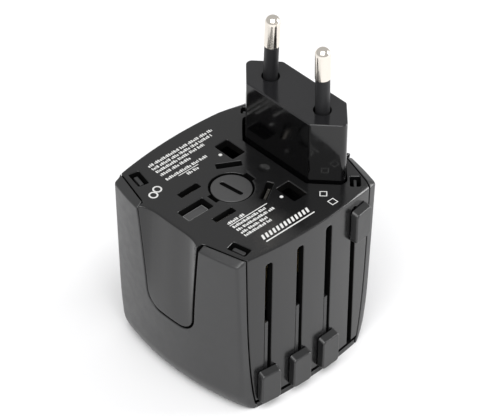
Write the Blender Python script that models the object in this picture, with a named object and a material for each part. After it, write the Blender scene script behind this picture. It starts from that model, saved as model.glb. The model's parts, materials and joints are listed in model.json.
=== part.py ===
"""Universal travel adapter, standing on its socket face with its plug face up.

The world origin is the centre of the socket face. +Z runs from the socket face to the plug face, and the
four slider knobs are on the -Y face. Sizes below are millimetres; the helpers turn them into metres.
"""

import math

import bmesh
import bpy
from mathutils import Matrix, Vector

MM = 0.001
GAP = 0.3  # between pieces that touch or slide

# ---------------------------------------------------------------- driving dimensions
BODY_HEIGHT = 51.0
FACE_HALF_DEPTH = 24.7  # plug face centre to the front or back wall
FACE_RADIUS = 119.0  # plan radius of the front and back walls
SIDE_HALF_WIDTH = 27.3  # plan centre to the crown of a side shell, at the top
SIDE_RADIUS = 75.4  # plan radius of a side shell
SIDE_TAPER = 2.2  # how much narrower each side is at the bottom
FOOT_HEIGHT = 6.0  # where the side starts to round under
FOOT_RADIUS = 7.8
SHELL_WALL = 2.0
SHELL_LIP_DROP = 1.2  # the shell's top edge falls outwards by this much
SEAM_AT_TOP = 21.35  # half width of the front wall at the plug face
SEAM_GAP = 0.35

PLATE = 2.2  # thickness of the plug face
WALL = 1.8  # thickness of the front and back walls
WALL_FOOT = 2.7  # lower edge of the front and back walls
BASE_EDGE = 1.5  # visible thickness of the base plate
BASE_TOP = 2.4
CARRIAGE_FLOOR = 5.0  # underside of a retracted carriage

TONGUE_HALF_WIDTH = 8.6  # of the U-shaped cut-out, low down
TONGUE_FLARE = 2.45  # extra half width at the top
TONGUE_CORNER = 5.0
TONGUE_BOTTOM = 20.1
TONGUE_RECESS = 2.3  # depth of the thumb dish at its top edge
TONGUE_GAP = 0.45  # seam between the tongue and the cut-out
TONGUE_WALL = 1.5

UK_LINE = (5.3, 11.1)  # live and neutral pins at (x, -y) and (x, +y)
UK_EARTH = (-16.9, 0.0)
UK_PIN = (3.9, 6.2)
UK_EARTH_PIN = (7.9, 3.9)
US_BLADE_AT = (-13.2, 6.35)
AU_BLADE_AT = (0.9, 6.85)
AU_ANGLE = 30.0
FLAT_BLADE = (6.2, 1.5)
TANG_POCKET = (3.6, 1.7)  # holds the tang of a flat blade
EURO_CENTRE = 17.3  # x of the Euro block and pins
EURO_HALF_WIDTH = 6.45
EURO_HALF_LENGTH = 17.5
EURO_FLAT = 11.3  # the long flats end at this y
EURO_TOP = 69.16
EURO_PIN_BASE = 9.3  # y of a pin where it leaves the block
EURO_PIN_TIP = 8.75
EURO_PIN_LENGTH = 19.0
SOCKET_LINE = -5.75  # x of the socket holes

FUSE_CENTRE = (-4.7, 0.0)
CAP_RADIUS = 5.27
CAP_HOLE = 5.7

SLOT_X = {"us": -14.45, "au": -4.55, "uk": 5.3, "euro": 14.7}
SLOT_WIDTH = {"us": 2.15, "au": 2.15, "uk": 2.15, "euro": 1.75}
SLOT_TOP = {"us": 47.0, "au": 47.2, "uk": 47.9, "euro": 48.3}
STRIP_TOP = {"us": 27.8, "au": 28.0, "uk": 24.9}  # strips that fill the left half of a slot
STRIP_WIDTH = 1.0
ROOT_TOP = {"us": 29.6, "au": 29.6, "uk": 25.8}
TRAVEL = {"us": 18.7, "au": 18.7, "uk": 22.5, "euro": 37.2}
KNOB_X = {"us": -14.45, "au": -4.55, "uk": 5.3, "euro": 16.4}
KNOB_HEIGHT = 9.5
KNOB_FOOT = {"us": 2.9, "au": 2.9, "uk": 2.9, "euro": 37.95}
FLAT_TIP = 49.7  # retracted tips of the flat blades and of the earth pin
UK_LINE_TIP = 46.0

WINDOW_AT = {-1: (19.3, 18.2), 1: (19.5, 19.25)}  # the corner windows of the -X and the +X side
WINDOW_SIZE = {-1: (3.0, 5.3), 1: (2.6, 3.9)}
WINDOW_ANGLE = {-1: 13.0, 1: 43.0}
FINGER_SIZE = {-1: (1.2, 3.5), 1: (0.8, 3.0)}  # latch fingers that stand in the windows
BOSS_AT = (10.2, 20.2)

# ---------------------------------------------------------------- materials
COLOURS = {
    "housing_plastic": ((0.050, 0.050, 0.053), 0.42, 0.0),
    "shell_plastic": ((0.085, 0.086, 0.090), 0.48, 0.0),
    "knob_plastic": ((0.095, 0.097, 0.100), 0.50, 0.0),
    "cap_plastic": ((0.140, 0.140, 0.140), 0.62, 0.0),
    "gloss_plastic": ((0.030, 0.030, 0.032), 0.18, 0.0),
    "inner_plastic": ((0.110, 0.110, 0.112), 0.55, 0.0),
    "nickel": ((0.720, 0.680, 0.610), 0.20, 1.0),
    "brass": ((0.780, 0.600, 0.270), 0.30, 1.0),
    "steel": ((0.620, 0.620, 0.640), 0.30, 1.0),
    "fuse_glass": ((0.800, 0.830, 0.840), 0.08, 0.0),
}


def material(name):
    found = bpy.data.materials.get(name)
    if found:
        return found
    colour, roughness, metallic = COLOURS[name]
    made = bpy.data.materials.new(name)
    made.use_nodes = True
    shader = made.node_tree.nodes["Principled BSDF"]
    shader.inputs["Base Color"].default_value = (*colour, 1.0)
    shader.inputs["Roughness"].default_value = roughness
    shader.inputs["Metallic"].default_value = metallic
    made.diffuse_color = (*colour, 1.0)
    return made


# ---------------------------------------------------------------- the adapter's surfaces
def face_y(x):
    """Distance of the front or back wall from the centre plane, at x."""
    return FACE_HALF_DEPTH - FACE_RADIUS + math.sqrt(FACE_RADIUS**2 - x**2)


def taper(z):
    """How far a side surface lies inside its place at the plug face, at height z."""
    under = max(FOOT_HEIGHT - z, 0.0)
    foot = FOOT_RADIUS - math.sqrt(FOOT_RADIUS**2 - under**2)
    return SIDE_TAPER * (1.0 - z / BODY_HEIGHT) + foot


def side_x(y, z):
    """Distance of a side shell's outer surface from the centre plane."""
    return SIDE_HALF_WIDTH - taper(z) - SIDE_RADIUS + math.sqrt(SIDE_RADIUS**2 - y**2)


def seam_x(z):
    """Half width of the front wall, where it meets the side shells."""
    down = 1.0 - z / BODY_HEIGHT
    return SEAM_AT_TOP - 1.3 * down - 2.4 * down**4


def tongue_half_width(z):
    """Half width of the U-shaped cut-out above its rounded corners."""
    above = max(z - TONGUE_BOTTOM - TONGUE_CORNER, 0.0)
    return TONGUE_HALF_WIDTH + TONGUE_FLARE * (above / 25.9) ** 1.15


def tongue_x(y, z):
    """Distance of the thumb dish from the centre plane; it is flush with the shell at its edges."""
    rise = max(z - TONGUE_BOTTOM, 0.0) / (BODY_HEIGHT - TONGUE_BOTTOM)
    hollow = 1.0 - min(abs(y) / (tongue_half_width(z) - TONGUE_GAP), 1.0) ** 4
    return side_x(y, z) - TONGUE_RECESS * rise**1.2 * hollow


def spread(low, high, count):
    return [low + (high - low) * i / (count - 1) for i in range(count)]


# ---------------------------------------------------------------- helpers
def new_object(name, build, slot):
    """An object named name whose bmesh is filled by build, with outward normals."""
    bm = bmesh.new()
    build(bm)
    bmesh.ops.recalc_face_normals(bm, faces=bm.faces)
    mesh = bpy.data.meshes.new(name)
    bm.to_mesh(mesh)
    bm.free()
    item = bpy.data.objects.new(name, mesh)
    bpy.context.scene.collection.objects.link(item)
    item.data.materials.append(material(slot))
    return item


def loft(name, rings, slot):
    """A closed body through rings of equally many points, each capped flat."""

    def build(bm):
        rows = [[bm.verts.new(Vector(p) * MM) for p in ring] for ring in rings]
        count = len(rows[0])
        for low, high in zip(rows, rows[1:]):
            for i in range(count):
                j = (i + 1) % count
                bm.faces.new((low[i], low[j], high[j], high[i]))
        bm.faces.new(rows[0])
        bm.faces.new(rows[-1])

    return new_object(name, build, slot)


def prism(name, outline, z_low, z_high, slot):
    return loft(name, [[(x, y, z) for x, y in outline] for z in (z_low, z_high)], slot)


def rectangle(centre, size, angle=0.0):
    turn = Matrix.Rotation(math.radians(angle), 2)
    corners = ((-1, -1), (1, -1), (1, 1), (-1, 1))
    points = []
    for sx, sy in corners:
        corner = turn @ Vector((sx * size[0] / 2, sy * size[1] / 2))
        points.append((centre[0] + corner.x, centre[1] + corner.y))
    return points


def slab(name, centre, size, z_low, z_high, slot, angle=0.0):
    return prism(name, rectangle(centre, size, angle), z_low, z_high, slot)


def box(name, x_range, y_range, z_range, slot):
    centre = (sum(x_range) / 2, sum(y_range) / 2)
    size = (x_range[1] - x_range[0], y_range[1] - y_range[0])
    return slab(name, centre, size, z_range[0], z_range[1], slot)


def circle(centre, radius, count=32):
    angles = [2 * math.pi * i / count for i in range(count)]
    return [(centre[0] + radius * math.cos(a), centre[1] + radius * math.sin(a)) for a in angles]


def turned(name, centre, profile, slot, count=32):
    """A solid of revolution about the vertical through centre; profile is (radius, z), lowest first."""
    rings = [[(x, y, z) for x, y in circle(centre, radius, count)] for radius, z in profile]
    return loft(name, rings, slot)


def thick_sheet(name, outer, inner, slot):
    """A closed body between two grids of points with the same rows and columns."""

    def build(bm):
        a = [[bm.verts.new(Vector(p) * MM) for p in row] for row in outer]
        b = [[bm.verts.new(Vector(p) * MM) for p in row] for row in inner]
        rows, columns = len(a), len(a[0])
        for r in range(rows - 1):
            for c in range(columns - 1):
                bm.faces.new((a[r][c], a[r][c + 1], a[r + 1][c + 1], a[r + 1][c]))
                bm.faces.new((b[r][c], b[r + 1][c], b[r + 1][c + 1], b[r][c + 1]))
            bm.faces.new((a[r][0], a[r + 1][0], b[r + 1][0], b[r][0]))
            bm.faces.new((a[r][-1], b[r][-1], b[r + 1][-1], a[r + 1][-1]))
        for c in range(columns - 1):
            bm.faces.new((a[0][c], b[0][c], b[0][c + 1], a[0][c + 1]))
            bm.faces.new((a[-1][c], a[-1][c + 1], b[-1][c + 1], b[-1][c]))

    return new_object(name, build, slot)


def combine(target, others, operation):
    """Adds each of others to target, or cuts it away, and hides it as a construction shape."""
    for other in others:
        step = target.modifiers.new(other.name, "BOOLEAN")
        step.operation = operation
        step.solver = "EXACT"
        step.object = other
        other.hide_render = True
        other.display_type = "WIRE"
    return target


def cut(target, *cutters):
    return combine(target, cutters, "DIFFERENCE")


def fuse_with(target, *others):
    return combine(target, others, "UNION")


def set_origin(item, x, y, z):
    shift = Vector((x, y, z)) * MM
    item.data.transform(Matrix.Translation(-shift))
    item.location = shift
    return item


def group(name, items):
    """Hangs a moving body's pieces on one empty."""
    carrier = bpy.data.objects.new(name, None)
    bpy.context.scene.collection.objects.link(carrier)
    for item in items:
        item.parent = carrier


def euro_outline(grow=0.0):
    """Plan outline of the Euro block: long flats, 45-degree ends and rounded tips."""
    half = EURO_HALF_WIDTH + grow
    flat = EURO_FLAT + grow * 0.4
    tip_radius = 1.6 + grow
    tip_centre = EURO_HALF_LENGTH + grow - tip_radius
    points = []
    for sign in (1, -1):
        points.append((EURO_CENTRE + sign * half, -sign * flat))
        points.append((EURO_CENTRE + sign * half, sign * flat))
        for step in range(5):
            angle = math.radians(35.0 + step * 27.5)
            points.append(
                (
                    EURO_CENTRE + sign * tip_radius * math.cos(angle),
                    sign * (tip_centre + tip_radius * math.sin(angle)),
                )
            )
    return points


# ---------------------------------------------------------------- main housing
def plate_half_outline():
    """The +X edge of the plug face, from the -Y seam to the +Y seam."""
    seam = SEAM_AT_TOP - SEAM_GAP
    rear = [(24.2, 11.6), (21.3, 21.9), (seam, face_y(seam))]
    return [(x, -y) for x, y in reversed(rear)] + rear


def wall_half_outline(z):
    """The +X edge of the front and back walls at height z; straight, to be opened by the cavity."""
    seam = seam_x(z) - SEAM_GAP
    front = face_y(seam)
    return [(seam, y) for y in (-front, -front * 0.95, -11.6, 11.6, front * 0.95, front)]


def wall_ring(half_outline, z):
    """A closed ring: the half outline, the back arc, the mirrored half outline and the front arc."""
    edge = half_outline[-1][0]
    arc = [(x, face_y(x)) for x in spread(edge, -edge, 25)][1:-1]
    mirrored = [(-x, y) for x, y in reversed(half_outline)]
    front = [(-x, -y) for x, y in arc]
    return [(x, y, z) for x, y in half_outline + arc + mirrored + front]


def tongue(side):
    """One thumb dish, a curved plate hanging from the plug face inside the side shell's cut-out."""
    foot = TONGUE_BOTTOM + TONGUE_GAP
    outer, inner = [], []
    corner = TONGUE_CORNER - TONGUE_GAP
    lows = [foot + corner * (1 - math.cos(math.radians(a))) for a in (0, 18, 36, 54, 72, 90)]
    for z in lows + spread(foot + corner, BODY_HEIGHT, 8)[1:]:
        drop = max(foot + corner - z, 0.0)
        half = tongue_half_width(z) - TONGUE_GAP
        if drop > 0:
            half = TONGUE_HALF_WIDTH - TONGUE_GAP - corner + math.sqrt(max(corner**2 - drop**2, 0.0))
        ys = spread(-half, half, 13)
        outer.append([(side * tongue_x(y, z), y, z) for y in ys])
        inner.append([(side * (tongue_x(y, z) - TONGUE_WALL), y, z) for y in ys])
    return thick_sheet(f"tongue_{side}", outer, inner, "housing_plastic")


def tongue_root(side):
    """The part of the plug face that reaches out to one thumb dish."""
    rings = []
    for z in (BODY_HEIGHT - PLATE, BODY_HEIGHT):
        half = tongue_half_width(z) - TONGUE_GAP - 0.2
        edge = [(side * (tongue_x(y, z) - 0.5 * TONGUE_WALL), y, z) for y in spread(-half, half, 9)]
        rings.append(edge + [(side * SEAM_AT_TOP, half, z), (side * SEAM_AT_TOP, -half, z)])
    return loft(f"tongue_root_{side}", rings, "housing_plastic")


def plug_openings():
    """Cutters for every hole in the plug face."""
    low, high = BODY_HEIGHT - PLATE - 1.0, BODY_HEIGHT + 1.0
    cutters = []
    for sign in (-1, 1):
        line = (UK_LINE[0], sign * UK_LINE[1])
        cutters.append(slab(f"cut_uk_{sign}", line, (4.3, 6.6), low, high, "housing_plastic"))
        blade = (US_BLADE_AT[0], sign * US_BLADE_AT[1])
        cutters.append(slab(f"cut_us_{sign}", blade, (6.6, 1.9), low, high, "housing_plastic"))
        blade = (AU_BLADE_AT[0], sign * AU_BLADE_AT[1])
        turn = -sign * AU_ANGLE
        cutters.append(slab(f"cut_au_{sign}", blade, (6.7, 1.95), low, high, "housing_plastic", turn))
        for side in (-1, 1):
            x, y = WINDOW_AT[side]
            size, turn = WINDOW_SIZE[side], side * sign * WINDOW_ANGLE[side]
            name = f"cut_window_{side}_{sign}"
            cutters.append(slab(name, (side * x, sign * y), size, low, high, "housing_plastic", turn))
    cutters.append(slab("cut_earth", UK_EARTH, (8.3, 4.3), low, high, "housing_plastic"))
    cutters.append(prism("cut_euro", euro_outline(0.35), 34.0, high, "housing_plastic"))
    dimple = [(0.5, 50.3), (1.2, 50.6), (1.6, 51.4)]
    cutters.append(turned("cut_dimple", (6.4, 0.0), dimple, "housing_plastic", 20))
    return cutters


def slider_slots():
    """Cutters for the four knob slots, open at the bottom edge, with rounded upper ends."""
    cutters = []
    for name, x in SLOT_X.items():
        half = SLOT_WIDTH[name] / 2
        top = SLOT_TOP[name]
        corner = half * 0.8
        outline = [(-half, 0.0), (half, 0.0)]
        for side, angles in ((1, (0, 45, 90)), (-1, (90, 45, 0))):
            for angle in angles:
                a = math.radians(angle)
                reach = half - corner + corner * math.cos(a)
                outline.append((side * reach, top - corner * (1 - math.sin(a))))
        rings = [[(x + u, y, z) for u, z in outline] for y in (-26.0, -20.5)]
        cutters.append(loft(f"cut_slot_{name}", rings, "housing_plastic"))
    return cutters


def corner_facets():
    """Shallow wedges that bevel the plug face's two +X corners, deepening towards the seam."""
    cutters = []
    for sign in (-1, 1):
        start = Vector((12.0, sign * 24.3, BODY_HEIGHT))
        inner_end = Vector((21.3, sign * 21.3, BODY_HEIGHT))
        low_end = Vector((21.3, sign * 23.2, BODY_HEIGHT - 1.1))
        normal = (inner_end - start).cross(low_end - start).normalized()
        if normal.z < 0:
            normal = -normal
        run = (inner_end - start).normalized()
        fall = normal.cross(run)
        if fall.y * sign < 0:
            fall = -fall
        corners = [start - 4 * run, inner_end + 6 * run]
        quad = [corners[0], corners[1], corners[1] + 6 * fall, corners[0] + 6 * fall]
        rings = [[tuple(p) for p in quad], [tuple(p + 4 * normal) for p in quad]]
        cutters.append(loft(f"cut_facet_{sign}", rings, "housing_plastic"))
    return cutters


def main_housing():
    under_plate = BODY_HEIGHT - PLATE
    heights = [WALL_FOOT, 6.0, 12.0, 20.0, 30.0, 40.0, under_plate]
    rings = [wall_ring(wall_half_outline(z), z) for z in heights]
    rings += [wall_ring(plate_half_outline(), z) for z in (under_plate, BODY_HEIGHT)]
    slot = "housing_plastic"
    housing = loft("main_housing", rings, slot)

    edge = 30.0
    back = [(x, face_y(x) - WALL) for x in spread(edge, -edge, 31)]
    cut(housing, prism("cut_cavity", back + [(-x, -y) for x, y in back], -1.0, under_plate, slot))
    fuse_with(housing, tongue(-1), tongue(1), tongue_root(-1), tongue_root(1))

    flange = [(4.3, 22.0), (4.3, 46.0), (6.9, 47.0), (6.9, 49.5)]
    fuse_with(housing, turned("fuse_tube", FUSE_CENTRE, flange, slot))
    for side in (-1, 1):
        for sign in (-1, 1):
            x, y = side * BOSS_AT[0], sign * BOSS_AT[1]
            y_range = sorted((y - sign * 1.8, sign * 22.9))
            fuse_with(housing, box(f"boss_{side}_{sign}", (x - 1.9, x + 1.9), y_range, (2.9, 14.0), slot))
            pilot = [(1.1, 2.0), (1.1, 11.0)]
            cut(housing, turned(f"cut_pilot_{side}_{sign}", (x, y), pilot, slot, 16))

    well = [(3.0, 22.8), (3.0, 48.4), (6.4, 48.4), (6.4, 49.9), (CAP_HOLE, 49.9), (CAP_HOLE, 52.0)]
    cut(housing, turned("cut_fuse_well", FUSE_CENTRE, well, slot))
    cut(housing, turned("cut_fuse_floor", FUSE_CENTRE, [(1.2, 21.0), (1.2, 23.5)], slot, 16))
    cut(housing, slab("cut_cap_gates", FUSE_CENTRE, (12.6, 2.4), 48.6, 52.0, slot))
    cut(housing, *plug_openings(), *slider_slots(), *corner_facets())
    return housing


# ---------------------------------------------------------------- side shells
def shell_outer(z, drop_lip):
    """Outer path of a +X shell at height z, from the -Y seam round the corners to the +Y seam."""
    z_out = z - SHELL_LIP_DROP if drop_lip else z
    corner_y = 22.0
    corner_x = side_x(corner_y, z_out)
    seam = seam_x(z_out)
    front = [(x, -face_y(x)) for x in spread(seam, corner_x - 1.0, 3)]
    round_x, round_y = corner_x - 1.0, -corner_y + 0.75
    corner = [(corner_x - 0.35, -face_y(corner_x) + 0.12), (corner_x - 0.02, round_y)]
    ys = spread(round_y + 2.0, -round_y - 2.0, 15)
    side = [(side_x(y, z_out), y) for y in ys]
    return [(x, y, z_out) for x, y in front + corner] + [(x, y, z_out) for x, y in side] + [
        (x, -y, z_out) for x, y in reversed(front + corner)
    ]


def shell_inner(z, outer):
    """Inner path with as many points: beside the plug face near the top, the wall's inside below it."""
    near_plate = z >= BODY_HEIGHT - PLATE - 0.5
    seam = seam_x(z)
    limit = face_y(seam) - WALL - SEAM_GAP
    beside_seam = 5
    last = len(outer) - 1
    points = []
    for i, (_, y, _) in enumerate(outer):
        share = min(i, last - i) / (beside_seam - 1)
        if near_plate:
            if share <= 1:
                y = math.copysign(22.4 - 0.9 * share, y)
            line = 24.6 - max(abs(y) - 11.6, 0.0) * 0.2864
            points.append((line if abs(y) < 21.9 else 21.65 - 0.22 * (abs(y) - 21.9), y, z))
        elif share <= 1:
            side = side_x(limit, z) - SHELL_WALL
            points.append((seam + share * (side - seam), math.copysign(limit, y), z))
        else:
            points.append((side_x(y, z) - SHELL_WALL, y, z))
    return points


def side_shell(name, side):
    heights = [0.2, 1.0, 2.0, 3.2, 4.6, 6.0, 12.0, 20.0, 30.0, 40.0, 47.9, 48.4]
    outer, inner = [], []
    for z in heights + [BODY_HEIGHT]:
        path = shell_outer(z, z == BODY_HEIGHT)
        outer.append([(side * x, y, zz) for x, y, zz in path])
        inner.append([(side * x, y, zz) for x, y, zz in shell_inner(z, path)])
    shell = thick_sheet(name, outer, inner, "shell_plastic")

    corner = TONGUE_CORNER
    half_u = [(tongue_half_width(z), z) for z in spread(BODY_HEIGHT + 1.0, TONGUE_BOTTOM + corner, 8)]
    for angle in (18, 36, 54, 72, 90):
        a = math.radians(angle)
        half = TONGUE_HALF_WIDTH - corner * (1 - math.cos(a))
        half_u.append((half, TONGUE_BOTTOM + corner * (1 - math.sin(a))))
    outline = half_u + [(-y, z) for y, z in reversed(half_u)]
    rings = [[(x, y, z) for y, z in outline] for x in (side * 18.0, side * 30.0)]
    cut(shell, loft(f"cut_u_{side}", rings, "shell_plastic"))

    if side > 0:
        sweep = EURO_TOP - TRAVEL["euro"] - 21.0
        cut(shell, prism("cut_euro_sweep", euro_outline(GAP), sweep, 52.0, "shell_plastic"))
    for sign in (-1, 1):
        fuse_with(shell, latch_finger(side, sign))
    return shell


def latch_finger(side, sign):
    """A hook that rises from the shell's inner wall into a corner window of the plug face."""
    x, y = side * WINDOW_AT[side][0], sign * WINDOW_AT[side][1]
    turn = side * sign * WINDOW_ANGLE[side]
    name, slot, top = f"finger_{side}_{sign}", "shell_plastic", BODY_HEIGHT - 0.7
    finger = slab(name, (x, y), FINGER_SIZE[side], 44.0, top, slot, turn)
    x_range = sorted((x - side * 0.2, side * 23.2))
    y_range = sorted((y - sign * 1.2, y + sign * 1.0))
    return fuse_with(finger, box(name + "_arm", x_range, y_range, (44.0, 46.4), slot))


# ---------------------------------------------------------------- base plate, shutter and socket
def base_outline(inset_x, inset_y, z):
    """Plan outline of the base plate: bowed sides inside the shells, and the arcs of the end walls."""
    half = seam_x(0.0) - SEAM_GAP
    reach = face_y(half) - inset_y - 0.6
    side = [(side_x(y, z) - SHELL_WALL - inset_x, y) for y in spread(-reach, reach, 9)]
    back = [(x, face_y(x) - inset_y) for x in spread(half, -half, 17)]
    return side + back + [(-x, -y) for x, y in side] + [(-x, -y) for x, y in back]


def socket_hole(sign, z_low, z_high):
    """Cutters of one pole of the universal socket: round pin, flat blades and square pin together."""
    x, slot, turn = SOCKET_LINE, "inner_plastic", -sign * AU_ANGLE
    return [
        slab(f"cut_square_{sign}", (x, sign * 11.0), (4.5, 7.0), z_low, z_high, slot),
        prism(f"cut_round_{sign}", circle((x, sign * 9.5), 2.6, 24), z_low, z_high, slot),
        slab(f"cut_flat_{sign}", (x, sign * 6.5), (6.9, 2.1), z_low, z_high, slot),
        slab(f"cut_slant_{sign}", (x, sign * 7.0), (6.8, 2.1), z_low, z_high, slot, turn),
    ]


def base_plate():
    low = base_outline(0.35, 0.25, 0.0)
    high = base_outline(0.5, WALL + 0.45, 1.0)
    heights = ((0.0, low), (BASE_EDGE, low), (BASE_EDGE, high), (BASE_TOP, high))
    slot = "housing_plastic"
    plate = loft("base_plate", [[(x, y, z) for x, y in outline] for z, outline in heights], slot)
    for sign in (-1, 1):
        y_range = sorted((sign * 15.3, sign * 16.1))
        fuse_with(plate, box(f"shutter_rail_{sign}", (-11.2, 8.4), y_range, (2.0, 4.5), slot))
    stop = box("shutter_stop", (-11.9, -11.0), (-4.0, 4.0), (2.0, 4.5), slot)
    post = box("spring_post", (9.2, 10.0), (-1.5, 1.5), (2.0, 4.6), slot)
    fuse_with(plate, stop, post)
    for sign in (-1, 1):
        cut(plate, *socket_hole(sign, -1.0, 3.5))
        for side in (-1, 1):
            screw_at = (side * BOSS_AT[0], sign * BOSS_AT[1])
            seat = [(2.3, -1.0), (2.3, 1.3), (1.15, 1.3), (1.15, 3.5)]
            cut(plate, turned(f"cut_seat_{side}_{sign}", screw_at, seat, slot, 20))
    return plate


def base_screw(name, side, sign):
    """Countersunk thread-forming screw with a cross recess."""
    at = (side * BOSS_AT[0], sign * BOSS_AT[1])
    profile = [(1.5, 0.3), (1.95, 0.5), (1.95, 1.0), (0.8, 1.0), (0.8, 9.6), (0.3, 10.4)]
    screw = turned(name, at, profile, "steel", 16)
    for turn in (0, 90):
        cut(screw, slab(f"cut_{name}_{turn}", at, (2.2, 0.5), 0.0, 0.75, "steel", turn))
    return screw


def shutter():
    x_low = SOCKET_LINE - 4.95
    return box("shutter", (x_low, x_low + 9.4), (-15.0, 15.0), (2.7, 4.5), "inner_plastic")


def shutter_spring():
    """Fine coil between the shutter's edge and the post on the base plate."""
    start, end, radius, wire, turns = -1.0, 8.9, 0.62, 0.13, 6
    steps = turns * 10
    rings = []
    for i in range(steps + 1):
        angle = 2 * math.pi * turns * i / steps
        x = start + wire + (end - start - 2 * wire) * i / steps
        radial = Vector((0.0, math.cos(angle), math.sin(angle)))
        centre = Vector((x, 0.0, 3.6)) + radius * radial
        along = Vector((1.0, 0.0, 0.0))
        rings.append([tuple(centre + wire * v) for v in (radial, along, -radial, -along)])
    return loft("shutter_spring", rings, "steel")


def socket_block():
    """Insulating block with one chamber for each pin of the appliance's plug."""
    slot = "inner_plastic"
    block = box("socket_block", (-10.0, -1.5), (-15.2, 15.2), (4.9, 21.4), slot)
    for sign in (-1, 1):
        chamber_y = sorted((sign * 4.9, sign * 14.5))
        tail_y = sorted((sign * 13.1, sign * 14.3))
        cut(block, box(f"cut_chamber_{sign}", (-9.2, -2.3), chamber_y, (4.0, 20.4), slot))
        cut(block, box(f"cut_tail_{sign}", (-9.0, -2.5), tail_y, (19.0, 22.0), slot))
    return cut(block, box("cut_spring_seat", (-6.2, -3.2), (-1.0, 14.0), (20.6, 22.0), slot))


def contact_clip(name, sign):
    """Brass clip in one chamber: two leaves for round and square pins, two for flat blades."""
    x = SOCKET_LINE
    clip = box(name, (x - 2.9, x + 2.9), sorted((sign * 5.2, sign * 14.1)), (19.5, 20.05), "brass")
    leaves = []
    for side in (-1, 1):
        edge = sorted((x + side * 2.25, x + side * 2.65))
        along = sorted((sign * 8.4, sign * 13.9))
        leaves.append(box(f"{name}_leaf_{side}", edge, along, (8.0, 19.8), "brass"))
        near = 6.35 + side * 1.15
        reach = sorted((sign * (near - 0.15), sign * (near + 0.15)))
        leaves.append(box(f"{name}_blade_{side}", (x - 2.2, x + 2.2), reach, (8.0, 19.8), "brass"))
    return fuse_with(clip, *leaves)


def neutral_contact():
    """Clip and rail in one stamping: the rail runs up beside the plug pins."""
    clip = contact_clip("neutral_contact", 1)
    x = SOCKET_LINE
    rail = box("neutral_rail", (x - 2.6, x + 2.6), (13.5, 14.1), (19.6, 45.0), "brass")
    return fuse_with(clip, rail)


def live_contact():
    """Clip with a tail that carries the fuse spring."""
    clip = contact_clip("live_contact", -1)
    x = SOCKET_LINE
    riser = box("live_riser", (x - 2.6, x + 2.6), (-14.1, -13.5), (19.6, 22.4), "brass")
    return fuse_with(clip, riser)


def live_rail():
    """Rail on the fuse's far side, beside the live pins."""
    x = SOCKET_LINE
    rail = box("live_rail", (x - 2.6, x + 2.6), (-14.1, -13.5), (22.8, 45.7), "brass")
    strap = box("live_strap", (x - 2.0, x + 2.0), (-13.8, -5.0), (45.1, 45.7), "brass")
    return fuse_with(rail, strap)


# ---------------------------------------------------------------- fuse and its cap
def fuse():
    lower_cap = [(2.3, 26.3), (2.6, 26.6), (2.6, 31.2)]
    tube = [(2.35, 31.2), (2.35, 41.4)]
    upper_cap = [(2.6, 41.4), (2.6, 46.0), (2.3, 46.3)]
    return turned("fuse", FUSE_CENTRE, lower_cap + tube + upper_cap, "fuse_glass", 20)


def fuse_spring():
    turns, radius, wire, low, high = 4, 2.0, 0.3, 23.1, 26.0
    steps = turns * 14
    rings = []
    for i in range(steps + 1):
        angle = 2 * math.pi * turns * i / steps
        z = low + wire + (high - low - 2 * wire) * i / steps
        radial = Vector((math.cos(angle), math.sin(angle), 0.0))
        centre = Vector((*FUSE_CENTRE, z)) + radius * radial
        up = Vector((0.0, 0.0, 0.82))
        rings.append([tuple(centre + wire * v) for v in (radial, up, -radial, -up)])
    return loft("fuse_spring", rings, "steel")


def fuse_cap():
    """Disc with a screwdriver slot and two bayonet lugs; its origin is on the axis it turns about."""
    disc = [(CAP_RADIUS, 49.0), (CAP_RADIUS, 50.65), (CAP_RADIUS - 0.15, 50.8)]
    cap = turned("fuse_cap", FUSE_CENTRE, [(2.4, 47.6), (2.4, 49.0)] + disc, "cap_plastic", 40)
    lugs = slab("cap_lugs", FUSE_CENTRE, (2.0, 12.2), 48.7, 49.6, "cap_plastic")
    ends = circle((0.0, 2.5), 0.5, 12)[0:7] + circle((0.0, -2.5), 0.5, 12)[6:] + [(0.5, -2.5)]
    slot_outline = [(FUSE_CENTRE[0] + x, y) for x, y in ends]
    cut(fuse_with(cap, lugs), prism("cut_cap_slot", slot_outline, 49.9, 52.0, "cap_plastic"))
    for item in (cap, lugs):
        set_origin(item, *FUSE_CENTRE, 0.0)
    return cap


def cap_contact():
    profile = [(2.2, 46.6), (2.3, 46.8), (2.3, 47.3)]
    return set_origin(turned("cap_contact", FUSE_CENTRE, profile, "brass", 20), *FUSE_CENTRE, 0.0)


# ---------------------------------------------------------------- knobs
def stub_range(kind):
    """Where, along X, a carriage's stub passes through its slot."""
    if kind == "euro":
        return SLOT_X[kind] - 0.5, SLOT_X[kind] + 0.5
    left = SLOT_X[kind] - SLOT_WIDTH[kind] / 2 + 0.15
    return left, left + STRIP_WIDTH


def knob(name, kind):
    """Finger knob, drafted on all sides, with a pocket for its carriage's stub."""
    x, foot, top = KNOB_X[kind], KNOB_FOOT[kind], KNOB_HEIGHT
    levels = ((0.25, 3.0, 0.0, top), (1.0, 2.97, 0.05, top - 0.05), (2.3, 2.8, 0.25, top - 0.4))
    rings = []
    for out, half, low, high in levels:
        rings.append([(-half, -out, low), (half, -out, low), (half, -out, high), (-half, -out, high)])
    item = loft(name, rings, "knob_plastic")
    soften = item.modifiers.new("soft edges", "BEVEL")
    soften.width = 0.45 * MM
    soften.segments = 2
    soften.limit_method = "ANGLE"
    soften.angle_limit = math.radians(25)
    stub = stub_range(kind)
    pocket_x = (stub[0] - x - GAP, stub[1] - x + GAP)
    pocket = box(f"cut_pocket_{kind}", pocket_x, (-1.8, 0.5), (1.2, 7.6), "knob_plastic")
    cut(item, pocket)
    for piece in (item, pocket):
        piece.location = Vector((x, -face_y(x), foot)) * MM
        piece.rotation_euler[2] = math.asin(x / FACE_RADIUS)
    return item


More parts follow.
